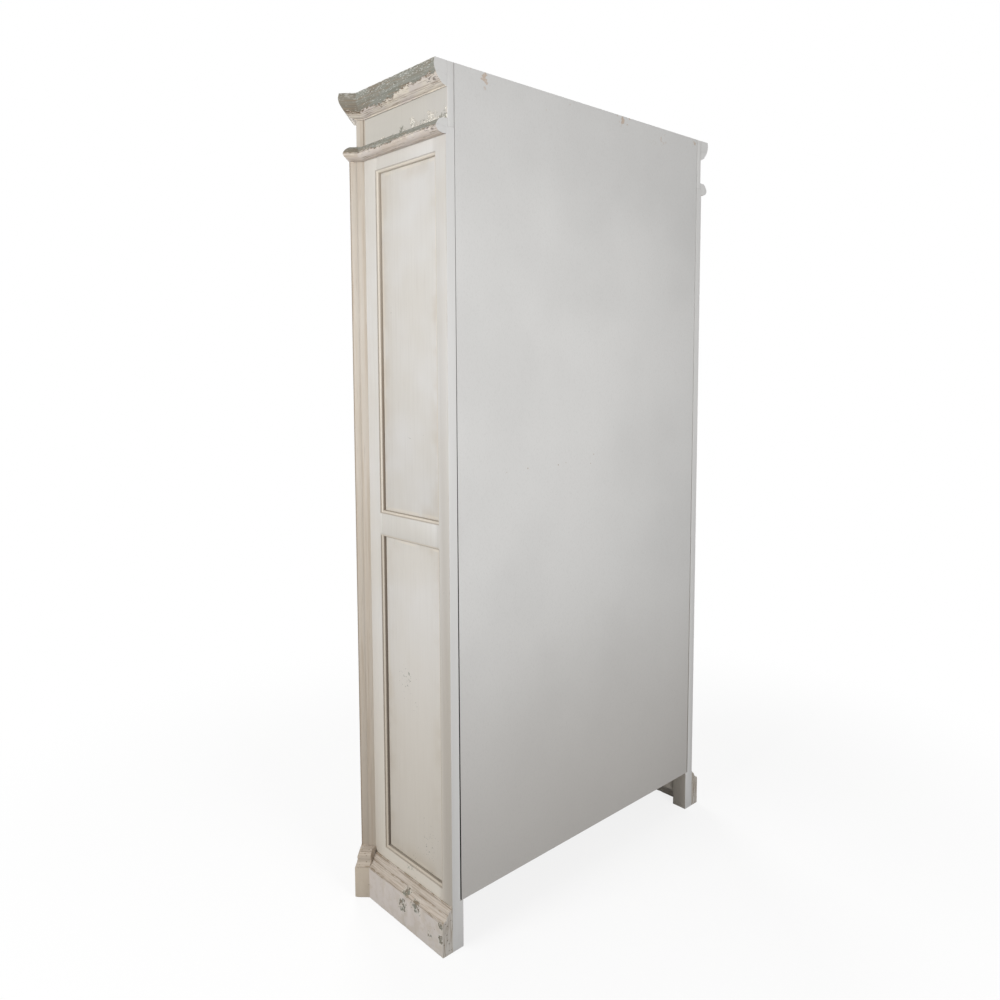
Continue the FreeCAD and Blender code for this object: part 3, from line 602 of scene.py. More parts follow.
def crumbled_band(tree, position, colour):
    """Crumbs of white and of undercoat above the waist moulding."""
    y, z = parts(tree, position)[1:3]
    band_height = ramp(tree, y, -0.12, 0.12, crumb_band_front, crumb_band_rear)
    above_waist = calc(tree, "SUBTRACT", z, waist_high)
    in_band = calc(tree, "SUBTRACT", 1.0, calc(tree, "DIVIDE", above_waist, band_height), clamp=True)
    in_band = times(tree, in_band, ramp(tree, above_waist, -0.004, 0.0))
    amount = calc(tree, "MULTIPLY_ADD", in_band, 0.15, -0.03)
    white = place(tree, flake_effect, Vector=position, Amount=amount, Cluster_Scale=30.0, Flake_Scale=260.0)
    colour = stain(tree, colour, crumb_white, white["Bare"], ramp(tree, in_band, 0.0, 0.1))
    colour = stain(tree, colour, glaze_brown, white["Rim"], ramp(tree, in_band, 0.0, 0.1), 0.9)
    elsewhere = vector_calc(tree, "ADD", position, (3.0, 5.0, 7.0))
    loose = place(tree, flake_effect, Vector=elsewhere, Amount=amount, Cluster_Scale=34.0, Flake_Scale=290.0)
    return stain(tree, colour, grey_green, loose["Bare"], ramp(tree, in_band, 0.2, 0.5))


print("crumbs up to", crumb_band_rear, "above the waist")

# %% [markdown]
# The faces beside the canted one keep plain paint, so a mask from the surface's own direction says where the
# glaze and its painted shade go. It reads the object's normal, not the camera, so it stays put in every view.

# %% Finish of the posts, pilasters and frieze
flat_shade = srgb(194, 190, 182)
frieze_tone = srgb(188, 185, 180)


def glazed_and_shaded_finish(name, proud, glaze_and_shade_share, line_at, flat_tone=warm_white):
    """Glaze and painted shade on the canted face, a dark broken line beside it, and plain paint on the flat
    faces.
    """
    material, tree, position = start_finish(name)
    outward, along_outer = canted(*corner_outer)
    along_inner = canted(*corner_inner)[1]
    turned = canted_place(tree, position)
    low = (0.0, along_inner, -far_off)
    high = (outward + proud, along_outer, far_off)
    arris = place(tree, edge_effect, Position=turned, Low=low, High=high)["Distance"]
    towards_front = ramp(tree, parts(tree, turned)[1], along_outer, along_inner)
    colour, stroke, pores = painted_ground(tree, position, flat_tone, flat_shade, upright_grain)
    normal = parts(tree, put(tree, "ShaderNodeTexCoord").outputs["Normal"])
    slant = calc(tree, "ABSOLUTE", calc(tree, "MULTIPLY", normal[0], normal[1]))
    on_cant = ramp(tree, slant, 0.2, 0.4)
    colour = glaze_and_painted_shade(tree, position, colour, pores, on_cant, glaze_and_shade_share)
    side_line = place(tree, line_effect, Distance=parts(tree, turned)[0], At=line_at, Half_Width=0.0022,
                      Vector=position, Scale=14.0, Fullness=0.72)["Mask"]
    colour = stain(tree, colour, brown, side_line, on_cant, 0.9)
    colour, rubbed = rubbed_corner(tree, position, colour, arris, towards_front)
    specks = place(tree, speck_effect, Vector=position, Scale=34.0, Size=0.06, Share=0.16)["Mask"]
    colour = stain(tree, colour, brown, specks, 0.7)
    colour = crumbled_band(tree, position, colour)
    colour = grey_rear(tree, position, colour, back_grey)
    height = calc(tree, "SUBTRACT", stroke, times(tree, rubbed, towards_front, 0.5))
    return end_finish(material, tree, colour, 0.62, height)


pilaster_line = canted(*corner_outer)[0] + pilaster_thickness - 0.0012
frieze_line = canted(half_width, post_high.y)[0] + 0.0015
post_finish = glazed_and_shaded_finish("post_glaze", 0.0, 0.9, -far_off)
pilaster_finish = glazed_and_shaded_finish("pilaster_glaze", pilaster_thickness, 0.9, pilaster_line)
frieze_finish = glazed_and_shaded_finish("frieze_glaze", 0.0, 0.95, frieze_line, frieze_tone)

# %% [markdown]
# The cornice and the waist moulding are the most worn. The grey-green undercoat shows wherever hands and
# knocks reach, white paint stays in flecks drawn out along the moulding, and the lower members keep a cream
# coat with a jagged edge, which rises towards the rear. The patterns follow the moulding, so they read its
# own two lengths: along the run and round the section.

# %% Undercoat and torn edge of the mouldings
chip_white = srgb(214, 214, 207)
worn_white = srgb(205, 207, 200)
waist_coat = srgb(202, 189, 177)


def moulding_values(tree):
    """The run along and round a moulding, and its crests and hollows."""
    run = put(tree, "ShaderNodeAttribute", attribute_name="run").outputs["Vector"]
    crest = put(tree, "ShaderNodeAttribute", attribute_name="crest").outputs["Fac"]
    hollow = put(tree, "ShaderNodeAttribute", attribute_name="hollow").outputs["Fac"]
    return run, crest, hollow


def drawn_along(tree, run, share):
    """The moulding's coordinates with its length shortened, so that a pattern is drawn out along it."""
    return vector_calc(tree, "MULTIPLY", run, (share, 1.0, 1.0))


def above_torn_edge(tree, run, torn, y, height_share, shares):
    """How far a point is above the torn edge, whose height differs from front to rear."""
    (front_y, front_share), (back_y, back_share) = shares
    edge_inputs = {0: y, 1: front_y, 2: back_y, 3: front_share, 4: back_share}
    edge_share = put(tree, "ShaderNodeMapRange", edge_inputs).outputs[0]
    slow = noise(tree, run, 7.0, 2.0)
    level = calc(tree, "MULTIPLY_ADD", slow, 0.55, calc(tree, "MULTIPLY_ADD", torn, 0.5, height_share))
    return calc(tree, "SUBTRACT", calc(tree, "SUBTRACT", level, 0.525), edge_share)


def bare_undercoat(tree, run):
    """Grey-green, streaked with blue-grey and, in long patches, with an earthy grey."""
    shades = ramp(tree, noise(tree, drawn_along(tree, run, 0.06), 160.0, 4.0, 0.6), 0.35, 0.65)
    earthy = ramp(tree, noise(tree, drawn_along(tree, run, 0.5), 9.0, 3.0), 0.45, 0.62, 0.0, 0.8)
    return tint(tree, earthy, tint(tree, shades, grey_green, blue_grey), earth_grey)


print("torn edge ready")

# %% [markdown]
# On the undercoat lie three kinds of white: flecks of whole paint, fine chips that crowd towards the top
# edge, and scattered points. Dark chips go down to the wood. Last come brown threads along the run, brown
# dirt in the hollows, and two thin broken lines, the lower of which is painted shade under a small step.

# %% Chips and lines on the mouldings
def chipped(tree, run, colour, under, height_share, flecks):
    """White flecks, chips and points, and chips down to the wood."""
    drawn_out = drawn_along(tree, run, 0.5)
    colour = stain(tree, colour, brown, flecks["Rim"], under, 0.3)
    colour = stain(tree, colour, cool_white, flecks["Bare"], 0.92)
    near_top = ramp(tree, height_share, 0.5, 0.95, 0.1, 1.0)
    fine = noise(tree, drawn_along(tree, run, 0.22), 420.0, 3.0, 0.65)
    chips = ramp(tree, calc(tree, "MULTIPLY_ADD", near_top, 0.06, fine), 0.615, 0.65)
    colour = stain(tree, colour, chip_white, chips, under, 0.85)
    points = place(tree, speck_effect, Vector=run, Scale=170.0, Size=0.3, Share=0.16)["Mask"]
    colour = stain(tree, colour, worn_white, points, under, near_top, 0.75)
    elsewhere = vector_calc(tree, "ADD", drawn_out, (7.0, 3.0, 0.0))
    to_wood = place(tree, flake_effect, Vector=elsewhere, Amount=-0.015, Cluster_Scale=17.0,
                    Flake_Scale=190.0)
    return stain(tree, colour, dark_brown, to_wood["Bare"], 0.7)


def dirty_hollows(tree, run, colour, crest, hollow, height_share, hollow_share):
    """Brown threads along the run, brown in the hollows, and rubbed crests."""
    threads = ramp(tree, noise(tree, drawn_along(tree, run, 0.06), 300.0, 2.0), 0.57, 0.66)
    colour = stain(tree, colour, glaze_brown, threads, 0.7)
    off_foot = ramp(tree, height_share, 0.1, 0.16)
    uneven = ramp(tree, noise(tree, run, 18.0), 0.35, 0.5, 0.3)
    colour = stain(tree, colour, brown, hollow, off_foot, uneven, hollow_share)
    return stain(tree, colour, pale_cream, crest, ramp(tree, noise(tree, run, 60.0, 4.0), 0.5, 0.56), 0.5)


def thin_dirt_and_shade_line(tree, run, height_share, at_share, half_width, fullness):
    """A broken line along the moulding at a share of its height."""
    return place(tree, line_effect, Distance=height_share, At=at_share, Half_Width=half_width,
                 Vector=drawn_along(tree, run, 0.5), Scale=6.0, Fullness=fullness)["Mask"]


print("chips and lines ready")

# %% [markdown]
# Both mouldings take the same finish with their own values: where the torn edge runs at the front and at the
# rear, the tone of the lower coat, and how strong the flecks, hollows and thin line are.

# %% Finish of the chipped mouldings
band_line_share = 0.64


def moulding_finish(name, node, shares, lower_tone, fleck_amount, hollow_share, line_share, line_depth):
    """Undercoat above a torn edge, paint below it, chips, and brown lines."""
    material, tree, position = start_finish(name)
    run, crest, hollow = moulding_values(tree)
    y, z = parts(tree, position)[1:3]
    low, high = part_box(node)
    drawn_out = drawn_along(tree, run, 0.5)
    torn = noise(tree, drawn_out, 120.0, 5.0, 0.7)
    height_share = put(tree, "ShaderNodeMapRange", {0: z, 1: low.z, 2: high.z}).outputs[0]
    over = above_torn_edge(tree, run, torn, y, height_share, shares)
    under = ramp(tree, over, 0.0, 0.012)
    below = calc(tree, "SUBTRACT", 1.0, under)
    coat = tint(tree, ramp(tree, noise(tree, drawn_out, 22.0), 0.36, 0.6), lower_tone, rosy_cream)
    # On the canted legs the undercoat and the coat are darker: partly earthy grey and beige, partly painted
    # shade.
    normal = parts(tree, put(tree, "ShaderNodeTexCoord").outputs["Normal"])
    on_cant = ramp(tree, calc(tree, "MULTIPLY", calc(tree, "ABSOLUTE", normal[0]), normal[1]), 0.15, 0.3)
    colour = tint(tree, under, coat, bare_undercoat(tree, run))
    colour = stain(tree, colour, earth_grey, under, on_cant, 0.6)
    colour = stain(tree, colour, beige, below, on_cant, 0.4)
    broken = ramp(tree, noise(tree, drawn_out, 210.0, 4.0, 0.65), 0.47, 0.52)
    colour = stain(tree, colour, brown, ramp(tree, over, -0.09, -0.01), ramp(tree, over, 0.05, 0.0), broken)
    flecks = place(tree, flake_effect, Vector=drawn_out, Amount=fleck_amount, Cluster_Scale=13.0,
                   Flake_Scale=150.0)
    colour = chipped(tree, run, colour, under, height_share, flecks)
    colour = dirty_hollows(tree, run, colour, crest, hollow, height_share, hollow_share)
    # The lower line is painted shade, the thin shadow that a small step of the profile would cast.
    step_shadow_line = thin_dirt_and_shade_line(tree, run, height_share, line_share, 0.02, 0.7)
    colour = stain(tree, colour, dark_brown, step_shadow_line, line_depth)
    band_line = thin_dirt_and_shade_line(tree, run, height_share, band_line_share, 0.014, 0.75)
    colour = stain(tree, colour, brown, band_line, under, 0.65)
    colour = grey_rear(tree, position, colour, back_grey)
    height = calc(tree, "ADD", times(tree, flecks["Bare"], 0.7), below)
    height = calc(tree, "MULTIPLY_ADD", torn, 0.4, height)
    return end_finish(material, tree, colour, ramp(tree, torn, 0.3, 0.7, 0.55, 0.8), height, 0.0006)


cornice_edge_shares = ((-0.12, 0.2), (0.2, 0.42))
waist_edge_shares = ((-0.12, 0.4), (0.2, 0.42))
cornice_finish = moulding_finish(
    "cornice_paint", "cornice_front", cornice_edge_shares, pale_cream,
    fleck_amount=-0.02, hollow_share=0.5, line_share=0.47, line_depth=0.3,
)
waist_finish = moulding_finish(
    "waist_paint", "waist_moulding_front", waist_edge_shares, waist_coat,
    fleck_amount=-0.02, hollow_share=0.25, line_share=0.39, line_depth=0.75,
)

# %% [markdown]
# The plinth is calmer: cream paint over a fine brown grain, brown glaze lines along the cap, and, on the
# right side, places where knocks have taken the paint off in chips with white rims. Each knock is a spot on
# the board and its reach, and the chips get fewer away from it.

# %% Knocks and cap of the plinth
plinth_face_height = 0.088
inner_leg_y = corner_inner.y + corner_inner.x - post_low.x
plinth_thickness = inner_leg_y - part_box("plinth_front")[0].y
plinth_face_x = half_width + plinth_thickness
cap_glaze = srgb(188, 177, 164)
knocks = (
    (0.055, 0.056, 0.030), (0.115, 0.080, 0.027), (0.063, 0.100, 0.020),
    (0.170, 0.033, 0.017), (0.213, 0.046, 0.017), (0.213, 0.081, 0.013),
)


def worn_places(tree, position):
    """One where the right plinth has been knocked, falling to nothing at the end of each knock's reach."""
    worn = 0.0
    for y, z, reach in knocks:
        inputs = {0: position, 1: (plinth_face_x, y, z)}
        away = put(tree, "ShaderNodeVectorMath", inputs, operation="DISTANCE").outputs["Value"]
        worn = calc(tree, "MAXIMUM", worn, ramp(tree, away, 1.3 * reach, 0.3 * reach))
    return worn


def glazed_cap(tree, position, run, colour, on_cant):
    """Fine brown lines along the cap, and dark specks on it near the corner post."""
    y, z = parts(tree, position)[1:3]
    on_cap = ramp(tree, z, plinth_face_height - 0.004, plinth_face_height + 0.002)
    lines = ramp(tree, noise(tree, drawn_along(tree, run, 0.03), 380.0, 2.0), 0.46, 0.6)
    colour = stain(tree, colour, cap_glaze, on_cap, calc(tree, "MULTIPLY_ADD", lines, 0.3, 0.65))
    colour = stain(tree, colour, glaze_brown, ramp(tree, lines, 0.0, 1.0, 0.06, 0.4), on_cap)
    near_corner = calc(tree, "MAXIMUM", on_cant, ramp(tree, y, -0.05, -0.12))
    specks = place(tree, speck_effect, Vector=position, Scale=190.0, Size=0.34, Share=0.5)["Mask"]
    return stain(tree, colour, brown, specks, on_cap, near_corner, 0.8)


print("plinth board", round(plinth_thickness, 4), "thick")

# %% [markdown]
# The plinth's boards end at the rear in bare end grain, which has dark streaks and specks of its own.

# %% Finish of the plinth
end_grain_light = srgb(196, 191, 184)


def end_grain(tree, position):
    """Streaked and speckled end grain."""
    drawn = vector_calc(tree, "MULTIPLY", position, (300, 1, 22))
    streaks = ramp(tree, noise(tree, drawn, 1.0, 4.0), 0.45, 0.6)
    colour = tint(tree, times(tree, streaks, 0.7), end_grain_light, glaze_brown)
    specks = place(tree, speck_effect, Vector=position, Scale=170.0, Size=0.32, Share=0.4)["Mask"]
    return stain(tree, colour, dark_brown, specks, 0.6)


def plinth_paint():
    """Cream board, glazed cap and a few chipped patches."""
    material, tree, position = start_finish("plinth_paint")
    run, crest, hollow = moulding_values(tree)
    colour, stroke, _ = painted_ground(tree, position, warm_white, rosy_cream, level_grain)
    mottled = ramp(tree, noise(tree, position, 45.0, 4.0, 0.65), 0.45, 0.62, 0.0, 0.35)
    colour = tint(tree, mottled, colour, beige)
    # The canted face is painted darker beige: partly its paint's tone, partly painted shade.
    normal = parts(tree, put(tree, "ShaderNodeTexCoord").outputs["Normal"])
    on_cant = ramp(tree, calc(tree, "ABSOLUTE", calc(tree, "MULTIPLY", normal[0], normal[1])), 0.15, 0.3)
    colour = stain(tree, colour, beige, on_cant, 0.8)
    colour = glazed_cap(tree, position, run, colour, on_cant)
    colour = stain(tree, colour, brown, hollow, ramp(tree, noise(tree, run, 16.0), 0.35, 0.5), 0.5)
    amount = calc(tree, "MULTIPLY_ADD", worn_places(tree, position), 0.195, -0.02)
    flakes = place(tree, flake_effect, Vector=position, Amount=amount, Cluster_Scale=7.0, Flake_Scale=180.0)
    undercoat = tint(tree, ramp(tree, noise(tree, position, 60.0), 0.4, 0.6), grey_green, earth_grey)
    colour = stain(tree, colour, crumb_white, flakes["Rim"], 0.8)
    colour = tint(tree, flakes["Bare"], colour, undercoat)
    colour = stain(tree, colour, glaze_brown, crest, ramp(tree, noise(tree, run, 30.0, 4.0), 0.5, 0.58), 0.8)
    specks = place(tree, speck_effect, Vector=position, Scale=110.0, Size=0.16, Share=0.25)["Mask"]
    colour = stain(tree, colour, brown, specks, ramp(tree, noise(tree, position, 6.0), 0.48, 0.6), 0.75)
    colour = grey_rear(tree, position, colour, end_grain(tree, position))
    height = calc(tree, "MULTIPLY_ADD", flakes["Height"], 0.8, times(tree, stroke, 0.4))
    return end_finish(material, tree, colour, 0.62, height, 0.0005)


plinth_finish = plinth_paint()

# %% [markdown]
# The back is one plain board, painted a cool light grey, with painted shade that darkens it towards the
# floor.
# It has a faint weave of roller marks, a few brown points where nails go into the fixed shelf, and small
# brown marks near its top edge.

# %% Finish of the back
shelf_low, shelf_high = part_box("fixed_shelf")
nail_line_z = (shelf_low.z + shelf_high.z) / 2
back_foot_shade = srgb(190, 185, 179)
weave_grey = srgb(170, 168, 163)
nail_rust = srgb(150, 122, 92)
top_mark = srgb(186, 162, 140)


def back_paint():
    """Cool light grey with sparse brown marks, and painted shade towards the floor."""
    material, tree, position = start_finish("back_paint")
    x, _, z = parts(tree, position)
    patches = ramp(tree, noise(tree, position, 1.7, 3.0), 0.35, 0.65)
    colour = tint(tree, patches, back_grey, back_shade)
    # Painted shade: the back is darker towards the floor.
    colour = stain(tree, colour, back_foot_shade, ramp(tree, z, 1.0, 0.1, 0.0, 0.65))
    weave = noise(tree, vector_calc(tree, "MULTIPLY", position, (420, 420, 160)), 1.0, 2.0)
    colour = stain(tree, colour, weave_grey, ramp(tree, weave, 0.5, 0.7), 0.12)
    off_line = calc(tree, "ABSOLUTE", calc(tree, "SUBTRACT", z, nail_line_z))
    near_nails = ramp(tree, off_line, 0.035, 0.006)
    among_nails = times(tree, ramp(tree, x, -0.12, -0.02), ramp(tree, x, 0.38, 0.28))
    specks = place(tree, speck_effect, Vector=position, Scale=75.0, Size=0.17, Share=0.45)["Mask"]
    colour = stain(tree, colour, nail_rust, near_nails, among_nails, specks, 0.75)
    near_top = ramp(tree, z, top_z - 0.06, top_z - 0.015)
    marks = place(tree, flake_effect, Vector=position, Amount=0.0, Cluster_Scale=9.0, Flake_Scale=60.0)
    colour = stain(tree, colour, top_mark, marks["Bare"], near_top, 0.7)
    lone = place(tree, speck_effect, Vector=position, Scale=9.0, Size=0.02, Share=0.2)["Mask"]
    colour = stain(tree, colour, brown, lone, 0.5)
    # The back's edges in the gap beside the stiles get painted shade.
    on_side = calc(tree, "ABSOLUTE", parts(tree, put(tree, "ShaderNodeTexCoord").outputs["Normal"])[0])
    colour = painted_gap_shade(tree, position, colour, ramp(tree, on_side, 0.5, 0.9))
    return end_finish(material, tree, colour, 0.66, weave, 0.0002)


back_finish = back_paint()

# %% [markdown]
# Inside, the boards have one thin coat, so the grain of the softwood shows through it, and the paint has come
# off in a few small patches. The metal is dark waxed iron, and the knobs and escutcheon are dull brass.

# %% Finishes inside and of the metal
thin_coat = srgb(206, 200, 188)
coated_grain = srgb(188, 174, 152)


def inner_paint():
    """Thin paint over boards whose grain runs from side to side."""
    material, tree, position = start_finish("inner_paint")
    rings = noise(tree, vector_calc(tree, "MULTIPLY", position, (1.6, 26, 26)), 1.0, 4.0, 0.6, 0.6)
    colour = tint(tree, ramp(tree, rings, 0.42, 0.66), thin_coat, coated_grain)
    strokes = place(tree, stroke_effect, Vector=position, Along=(5.0, 240.0, 240.0))
    colour = stain(tree, colour, brown, strokes["Pores"], 0.35)
    flakes = place(tree, flake_effect, Vector=position, Amount=-0.07, Cluster_Scale=5.0, Flake_Scale=80.0)
    colour = stain(tree, colour, bare_wood, flakes["Bare"], 0.8)
    return end_finish(material, tree, colour, 0.64, strokes["Stroke"])


def metal_finish(name, light, dark, tarnish, roughness):
    """Worn metal: a polished tone, a dark one in patches, and tarnish in points."""
    material, tree, position = start_finish(name)
    patches = ramp(tree, noise(tree, position, 70.0, 4.0, 0.6), 0.38, 0.62)
    colour = tint(tree, patches, light, dark)
    spots = ramp(tree, noise(tree, position, 240.0, 4.0, 0.65), 0.58, 0.68)
    colour = stain(tree, colour, tarnish, spots, 0.7)
    grit = noise(tree, position, 900.0, 2.0)
    metallic = calc(tree, "SUBTRACT", 0.9, calc(tree, "MULTIPLY", spots, 0.5))
    rough = calc(tree, "MULTIPLY_ADD", patches, 0.2, roughness)
    return end_finish(material, tree, colour, rough, grit, 0.0001, metallic)


inner_finish = inner_paint()
iron_tones = (srgb(92, 86, 80), srgb(58, 52, 47), srgb(92, 62, 42))
brass_tones = (srgb(170, 138, 86), srgb(112, 88, 54), srgb(78, 66, 44))
iron_finish = metal_finish("aged_iron", *iron_tones, 0.42)
brass_finish = metal_finish("aged_brass", *brass_tones, 0.32)

# %% [markdown]
# A board from the model has knife-sharp edges. Real arrises are rubbed, so each piece is copied, its loose
# triangles are merged back into plain faces, and a small bevel catches the light along every edge. The copy
# stands for the model's piece and moves with the same body.

# %% Boards with rubbed arrises
bodies = frame["record"]["behaviour"]["bodies"]
body_of_node = {node: body for body, members in bodies.items() for node in members}
smooth_angle = math.radians(38)
bevel_angle = math.radians(35)
flat_angle = math.radians(0.4)
weld_distance = 1e-6


def evaluated_mesh(thing, name):
    """A plain mesh of a piece with its modifiers applied."""
    bpy.context.view_layer.update()
    shown = thing.evaluated_get(bpy.context.evaluated_depsgraph_get())
    mesh = bpy.data.meshes.new_from_object(shown)
    mesh.name = name
    return mesh


def add_piece(name, mesh, node, material):
    """Puts a finished mesh in the scene in place of a node of the model."""
    piece = bpy.data.objects.new(name, mesh)
    bpy.context.scene.collection.objects.link(piece)
    mesh.materials.clear()
    mesh.materials.append(material)
    mesh.shade_smooth()
    mesh.set_sharp_from_angle(angle=smooth_angle)
    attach(piece, body_of_node[node])
    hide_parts(node)
    return piece


def merged_copy(node):
    """The node's mesh with its doubles merged and its flat faces made whole."""
    mesh = frame["nodes"][node].data.copy()
    made = bmesh.new()
    made.from_mesh(mesh)
    bmesh.ops.remove_doubles(made, verts=made.verts, dist=weld_distance)
    bmesh.ops.dissolve_limit(made, angle_limit=flat_angle, verts=made.verts, edges=made.edges)
    made.to_mesh(mesh)
    made.free()
    return mesh


def dress(node, material, bevel):
    """A copy of one node with rubbed arrises."""
    source = bpy.data.objects.new("source", merged_copy(node))
    bpy.context.scene.collection.objects.link(source)
    rub = source.modifiers.new("rubbed", "BEVEL")
    rub.width = bevel
    rub.segments = 2
    rub.limit_method = "ANGLE"
    rub.angle_limit = bevel_angle
    rub.use_clamp_overlap = True
    mesh = evaluated_mesh(source, "dressed_" + node)
    bpy.data.objects.remove(source)
    return add_piece("dressed_" + node, mesh, node, material)


both = ("left", "right")
frame_bevel = 0.0005
board_bevel = 0.0012
metal_bevel = 0.0004
side_pieces = ("side_front_stile", "side_rear_stile", "side_rails", "side_lower_panel", "side_upper_panel")
door_pieces = ("door_hinge_stile", "door_meeting_stile", "door_rails", "door_lower_panel", "door_upper_panel")
for hand in both:
    for kind in side_pieces:
        dress("%s_%s" % (kind, hand), side_finish, frame_bevel)
    for kind in door_pieces:
        dress("%s_%s" % (kind, hand), door_finish, frame_bevel)
    dress("corner_post_" + hand, post_finish, frame_bevel)
    dress("corner_pilaster_" + hand, pilaster_finish, frame_bevel)
    dress("frieze_" + hand, frieze_finish, board_bevel)
    dress("hinge_frame_leaves_" + hand, iron_finish, metal_bevel)
    dress("hinge_door_leaves_" + hand, iron_finish, metal_bevel)
dress("frieze_front", frieze_finish, board_bevel)
dress("back_panel", back_finish, frame_bevel)
inner_boards = ("bottom_board", "top_board", "fixed_shelf", "loose_shelf_1", "loose_shelf_2", "loose_shelf_3")
for node in inner_boards + ("lid_board", "bottom_front_rail"):
    dress(node, inner_finish, board_bevel)
for node in ("lock_case", "lock_bolt", "strike_plate", "rod_bolt_keeps", "rod_bolt_lower", "rod_bolt_upper"):
    dress(node, iron_finish, metal_bevel)
dress("escutcheon", brass_finish, metal_bevel)

# %% [markdown]
# A moulding is one section carried along the carcass and mitred at each turn. The section is drawn as points
# with a projection, a height and the bulge of the edge that leads there. Each corner is rounded a little, and
# the points remember whether they lie on a crest or in a hollow, because wear and dirt go there.

# %% Sections of the mouldings
arc_steps = 6
corner_radius = 0.0012
guard = 0.0022
least_bend = math.radians(24)


def rounded_arc(start, end, bulge):
    """Points of a round edge after its start, up to and with its end."""
    chord = end - start
    across = Vector((-chord.y, chord.x))
    angle = 2 * math.atan(2 * bulge)
    points = []
    for step in range(1, arc_steps + 1):
        turn_here = (2 * step / arc_steps - 1) * angle
        along = math.sin(turn_here) / (2 * math.sin(angle))
        out = (math.cos(turn_here) - math.cos(angle)) / (2 * math.sin(angle))
        points.append((start + end) / 2 + chord * along + across * out)
    return points


def section_points(outline):
    """A closed section as rows of projection, height, crest and hollow."""
    corners = [Vector(row[:2]) for row in outline]
    dense = []
    for index, corner in enumerate(corners):
        bulge = outline[index][2]
        previous = corners[index - 1]
        dense += rounded_arc(previous, corner, bulge) if bulge else [corner]
    area = sum(a.x * b.y - b.x * a.y for a, b in zip(dense, dense[1:] + dense[:1]))
    rows = []
    for index, point in enumerate(dense):
        before, after = dense[index - 1], dense[(index + 1) % len(dense)]
        lead, follow = point - before, after - point
        bend = lead.angle_signed(follow) * (-1 if area > 0 else 1)
        if abs(bend) < least_bend:
            rows.append((point, 0.0, 0.0))
            continue
        crest, hollow = (1.0, 0.0) if bend > 0 else (0.0, 1.0)
        cut = min(corner_radius, 0.3 * lead.length, 0.3 * follow.length)
        first = point - lead.normalized() * cut
        last = point + follow.normalized() * cut
        if lead.length > 2.5 * guard:
            rows.append((point - lead.normalized() * guard, 0.0, 0.0))
        rows += [(spot, crest, hollow) for spot in (first, (first + last) / 4 + point / 2, last)]
        if follow.length > 2.5 * guard:
            rows.append((point + follow.normalized() * guard, 0.0, 0.0))
    return rows + rows[:1]


def mesh_with(name, points, edges, values):
    """A mesh of points and edges with named values on its points."""
    mesh = bpy.data.meshes.new(name)
    mesh.from_pydata(points, edges, [])
    for label, (kind, numbers) in values.items():
        attribute = mesh.attributes.new(label, kind, "POINT")
        key = "vector" if kind == "FLOAT_VECTOR" else "value"
        flat = [n for number in numbers for n in number] if kind == "FLOAT_VECTOR" else numbers
        attribute.data.foreach_set(key, flat)
    return mesh


def section_object(name, outline):
    """The section as an object that the sweep reads. Its seam lies at the outline's first point."""
    rows = section_points(outline)
    lengths = [0.0]
    for (a, _, _), (b, _, _) in zip(rows, rows[1:]):
        lengths.append(lengths[-1] + (b - a).length)
    values = {
        "around": ("FLOAT", lengths),
        "crest": ("FLOAT", [row[1] for row in rows]),
        "hollow": ("FLOAT", [row[2] for row in rows]),
    }
    points = [(point.x, 0.0, point.y) for point, _, _ in rows]
    return bpy.data.objects.new(name, mesh_with(name, points, [], values))


print("section of", len(section_points([(0, 0, 0), (0.03, 0, 0), (0.03, 0.02, 0.3), (0, 0.02, 0)])), "points")

# %% [markdown]
# The path runs round the carcass in plan. At each turn the section has to lean into the mitre, so every point
# of the path carries a mitre vector: where it goes when the outline is moved out by one metre.

# %% Path round the carcass
frieze_setback = 0.005
station_gap = 0.004


def leg_normal(start, end):
    """The unit vector out of the carcass from one leg."""
    run = (end - start).normalized()
    return Vector((-run.y, run.x))


def moved_out(points, distances):
    """Moves each leg outwards by its own distance and joins the legs again."""
    normals = [leg_normal(a, b) for a, b in zip(points, points[1:])]
    levels = [n.dot(p) + d for n, p, d in zip(normals, points, distances)]
    moved = [points[0] + normals[0] * distances[0]]
    for (n, a), (m, b) in zip(zip(normals, levels), zip(normals[1:], levels[1:])):
        turn_size = n.x * m.y - n.y * m.x
        moved.append(Vector(((a * m.y - b * n.y) / turn_size, (n.x * b - m.x * a) / turn_size)))
    return moved + [points[-1] + normals[-1] * distances[-1]]


rear_corner = Vector((half_width, rear_y))
post_start = Vector((half_width, post_high.y))
inner_leg_end = Vector((post_low.x, inner_leg_y))
right_half = [rear_corner, post_start, corner_outer, corner_inner, inner_leg_end]
carcass_path = right_half + [Vector((-p.x, p.y)) for p in reversed(right_half)]
face_legs = (2, 6)
setbacks = [0.0 if leg in face_legs else -frieze_setback for leg in range(len(carcass_path) - 1)]
frieze_path = moved_out(carcass_path, setbacks)


def path_object(name, path, first, last):
    """Stations along some legs of a path, with their mitre vectors and the length so far."""
    unit = moved_out(path, [1.0] * (len(path) - 1))
    mitres = [moved - still for moved, still in zip(unit, path)]
    points, leans, lengths = [], [], []
    so_far = 0.0
    for leg in range(first, last + 1):
        start, end = path[leg], path[leg + 1]
        count = max(2, round((end - start).length / station_gap))
        steps = range(count + 1) if leg == last else range(count)
        for step in steps:
            share = step / count
            points.append((*start.lerp(end, share), 0.0))
            leans.append((*mitres[leg].lerp(mitres[leg + 1], share), 0.0))
            lengths.append(so_far + share * (end - start).length)
        so_far += (end - start).length
    values = {"mitre": ("FLOAT_VECTOR", leans), "along": ("FLOAT", lengths)}
    edges = [(index, index + 1) for index in range(len(points) - 1)]
    return bpy.data.objects.new(name, mesh_with(name, points, edges, values))


print("path corners", [tuple(round(c, 4) for c in p) for p in right_half])

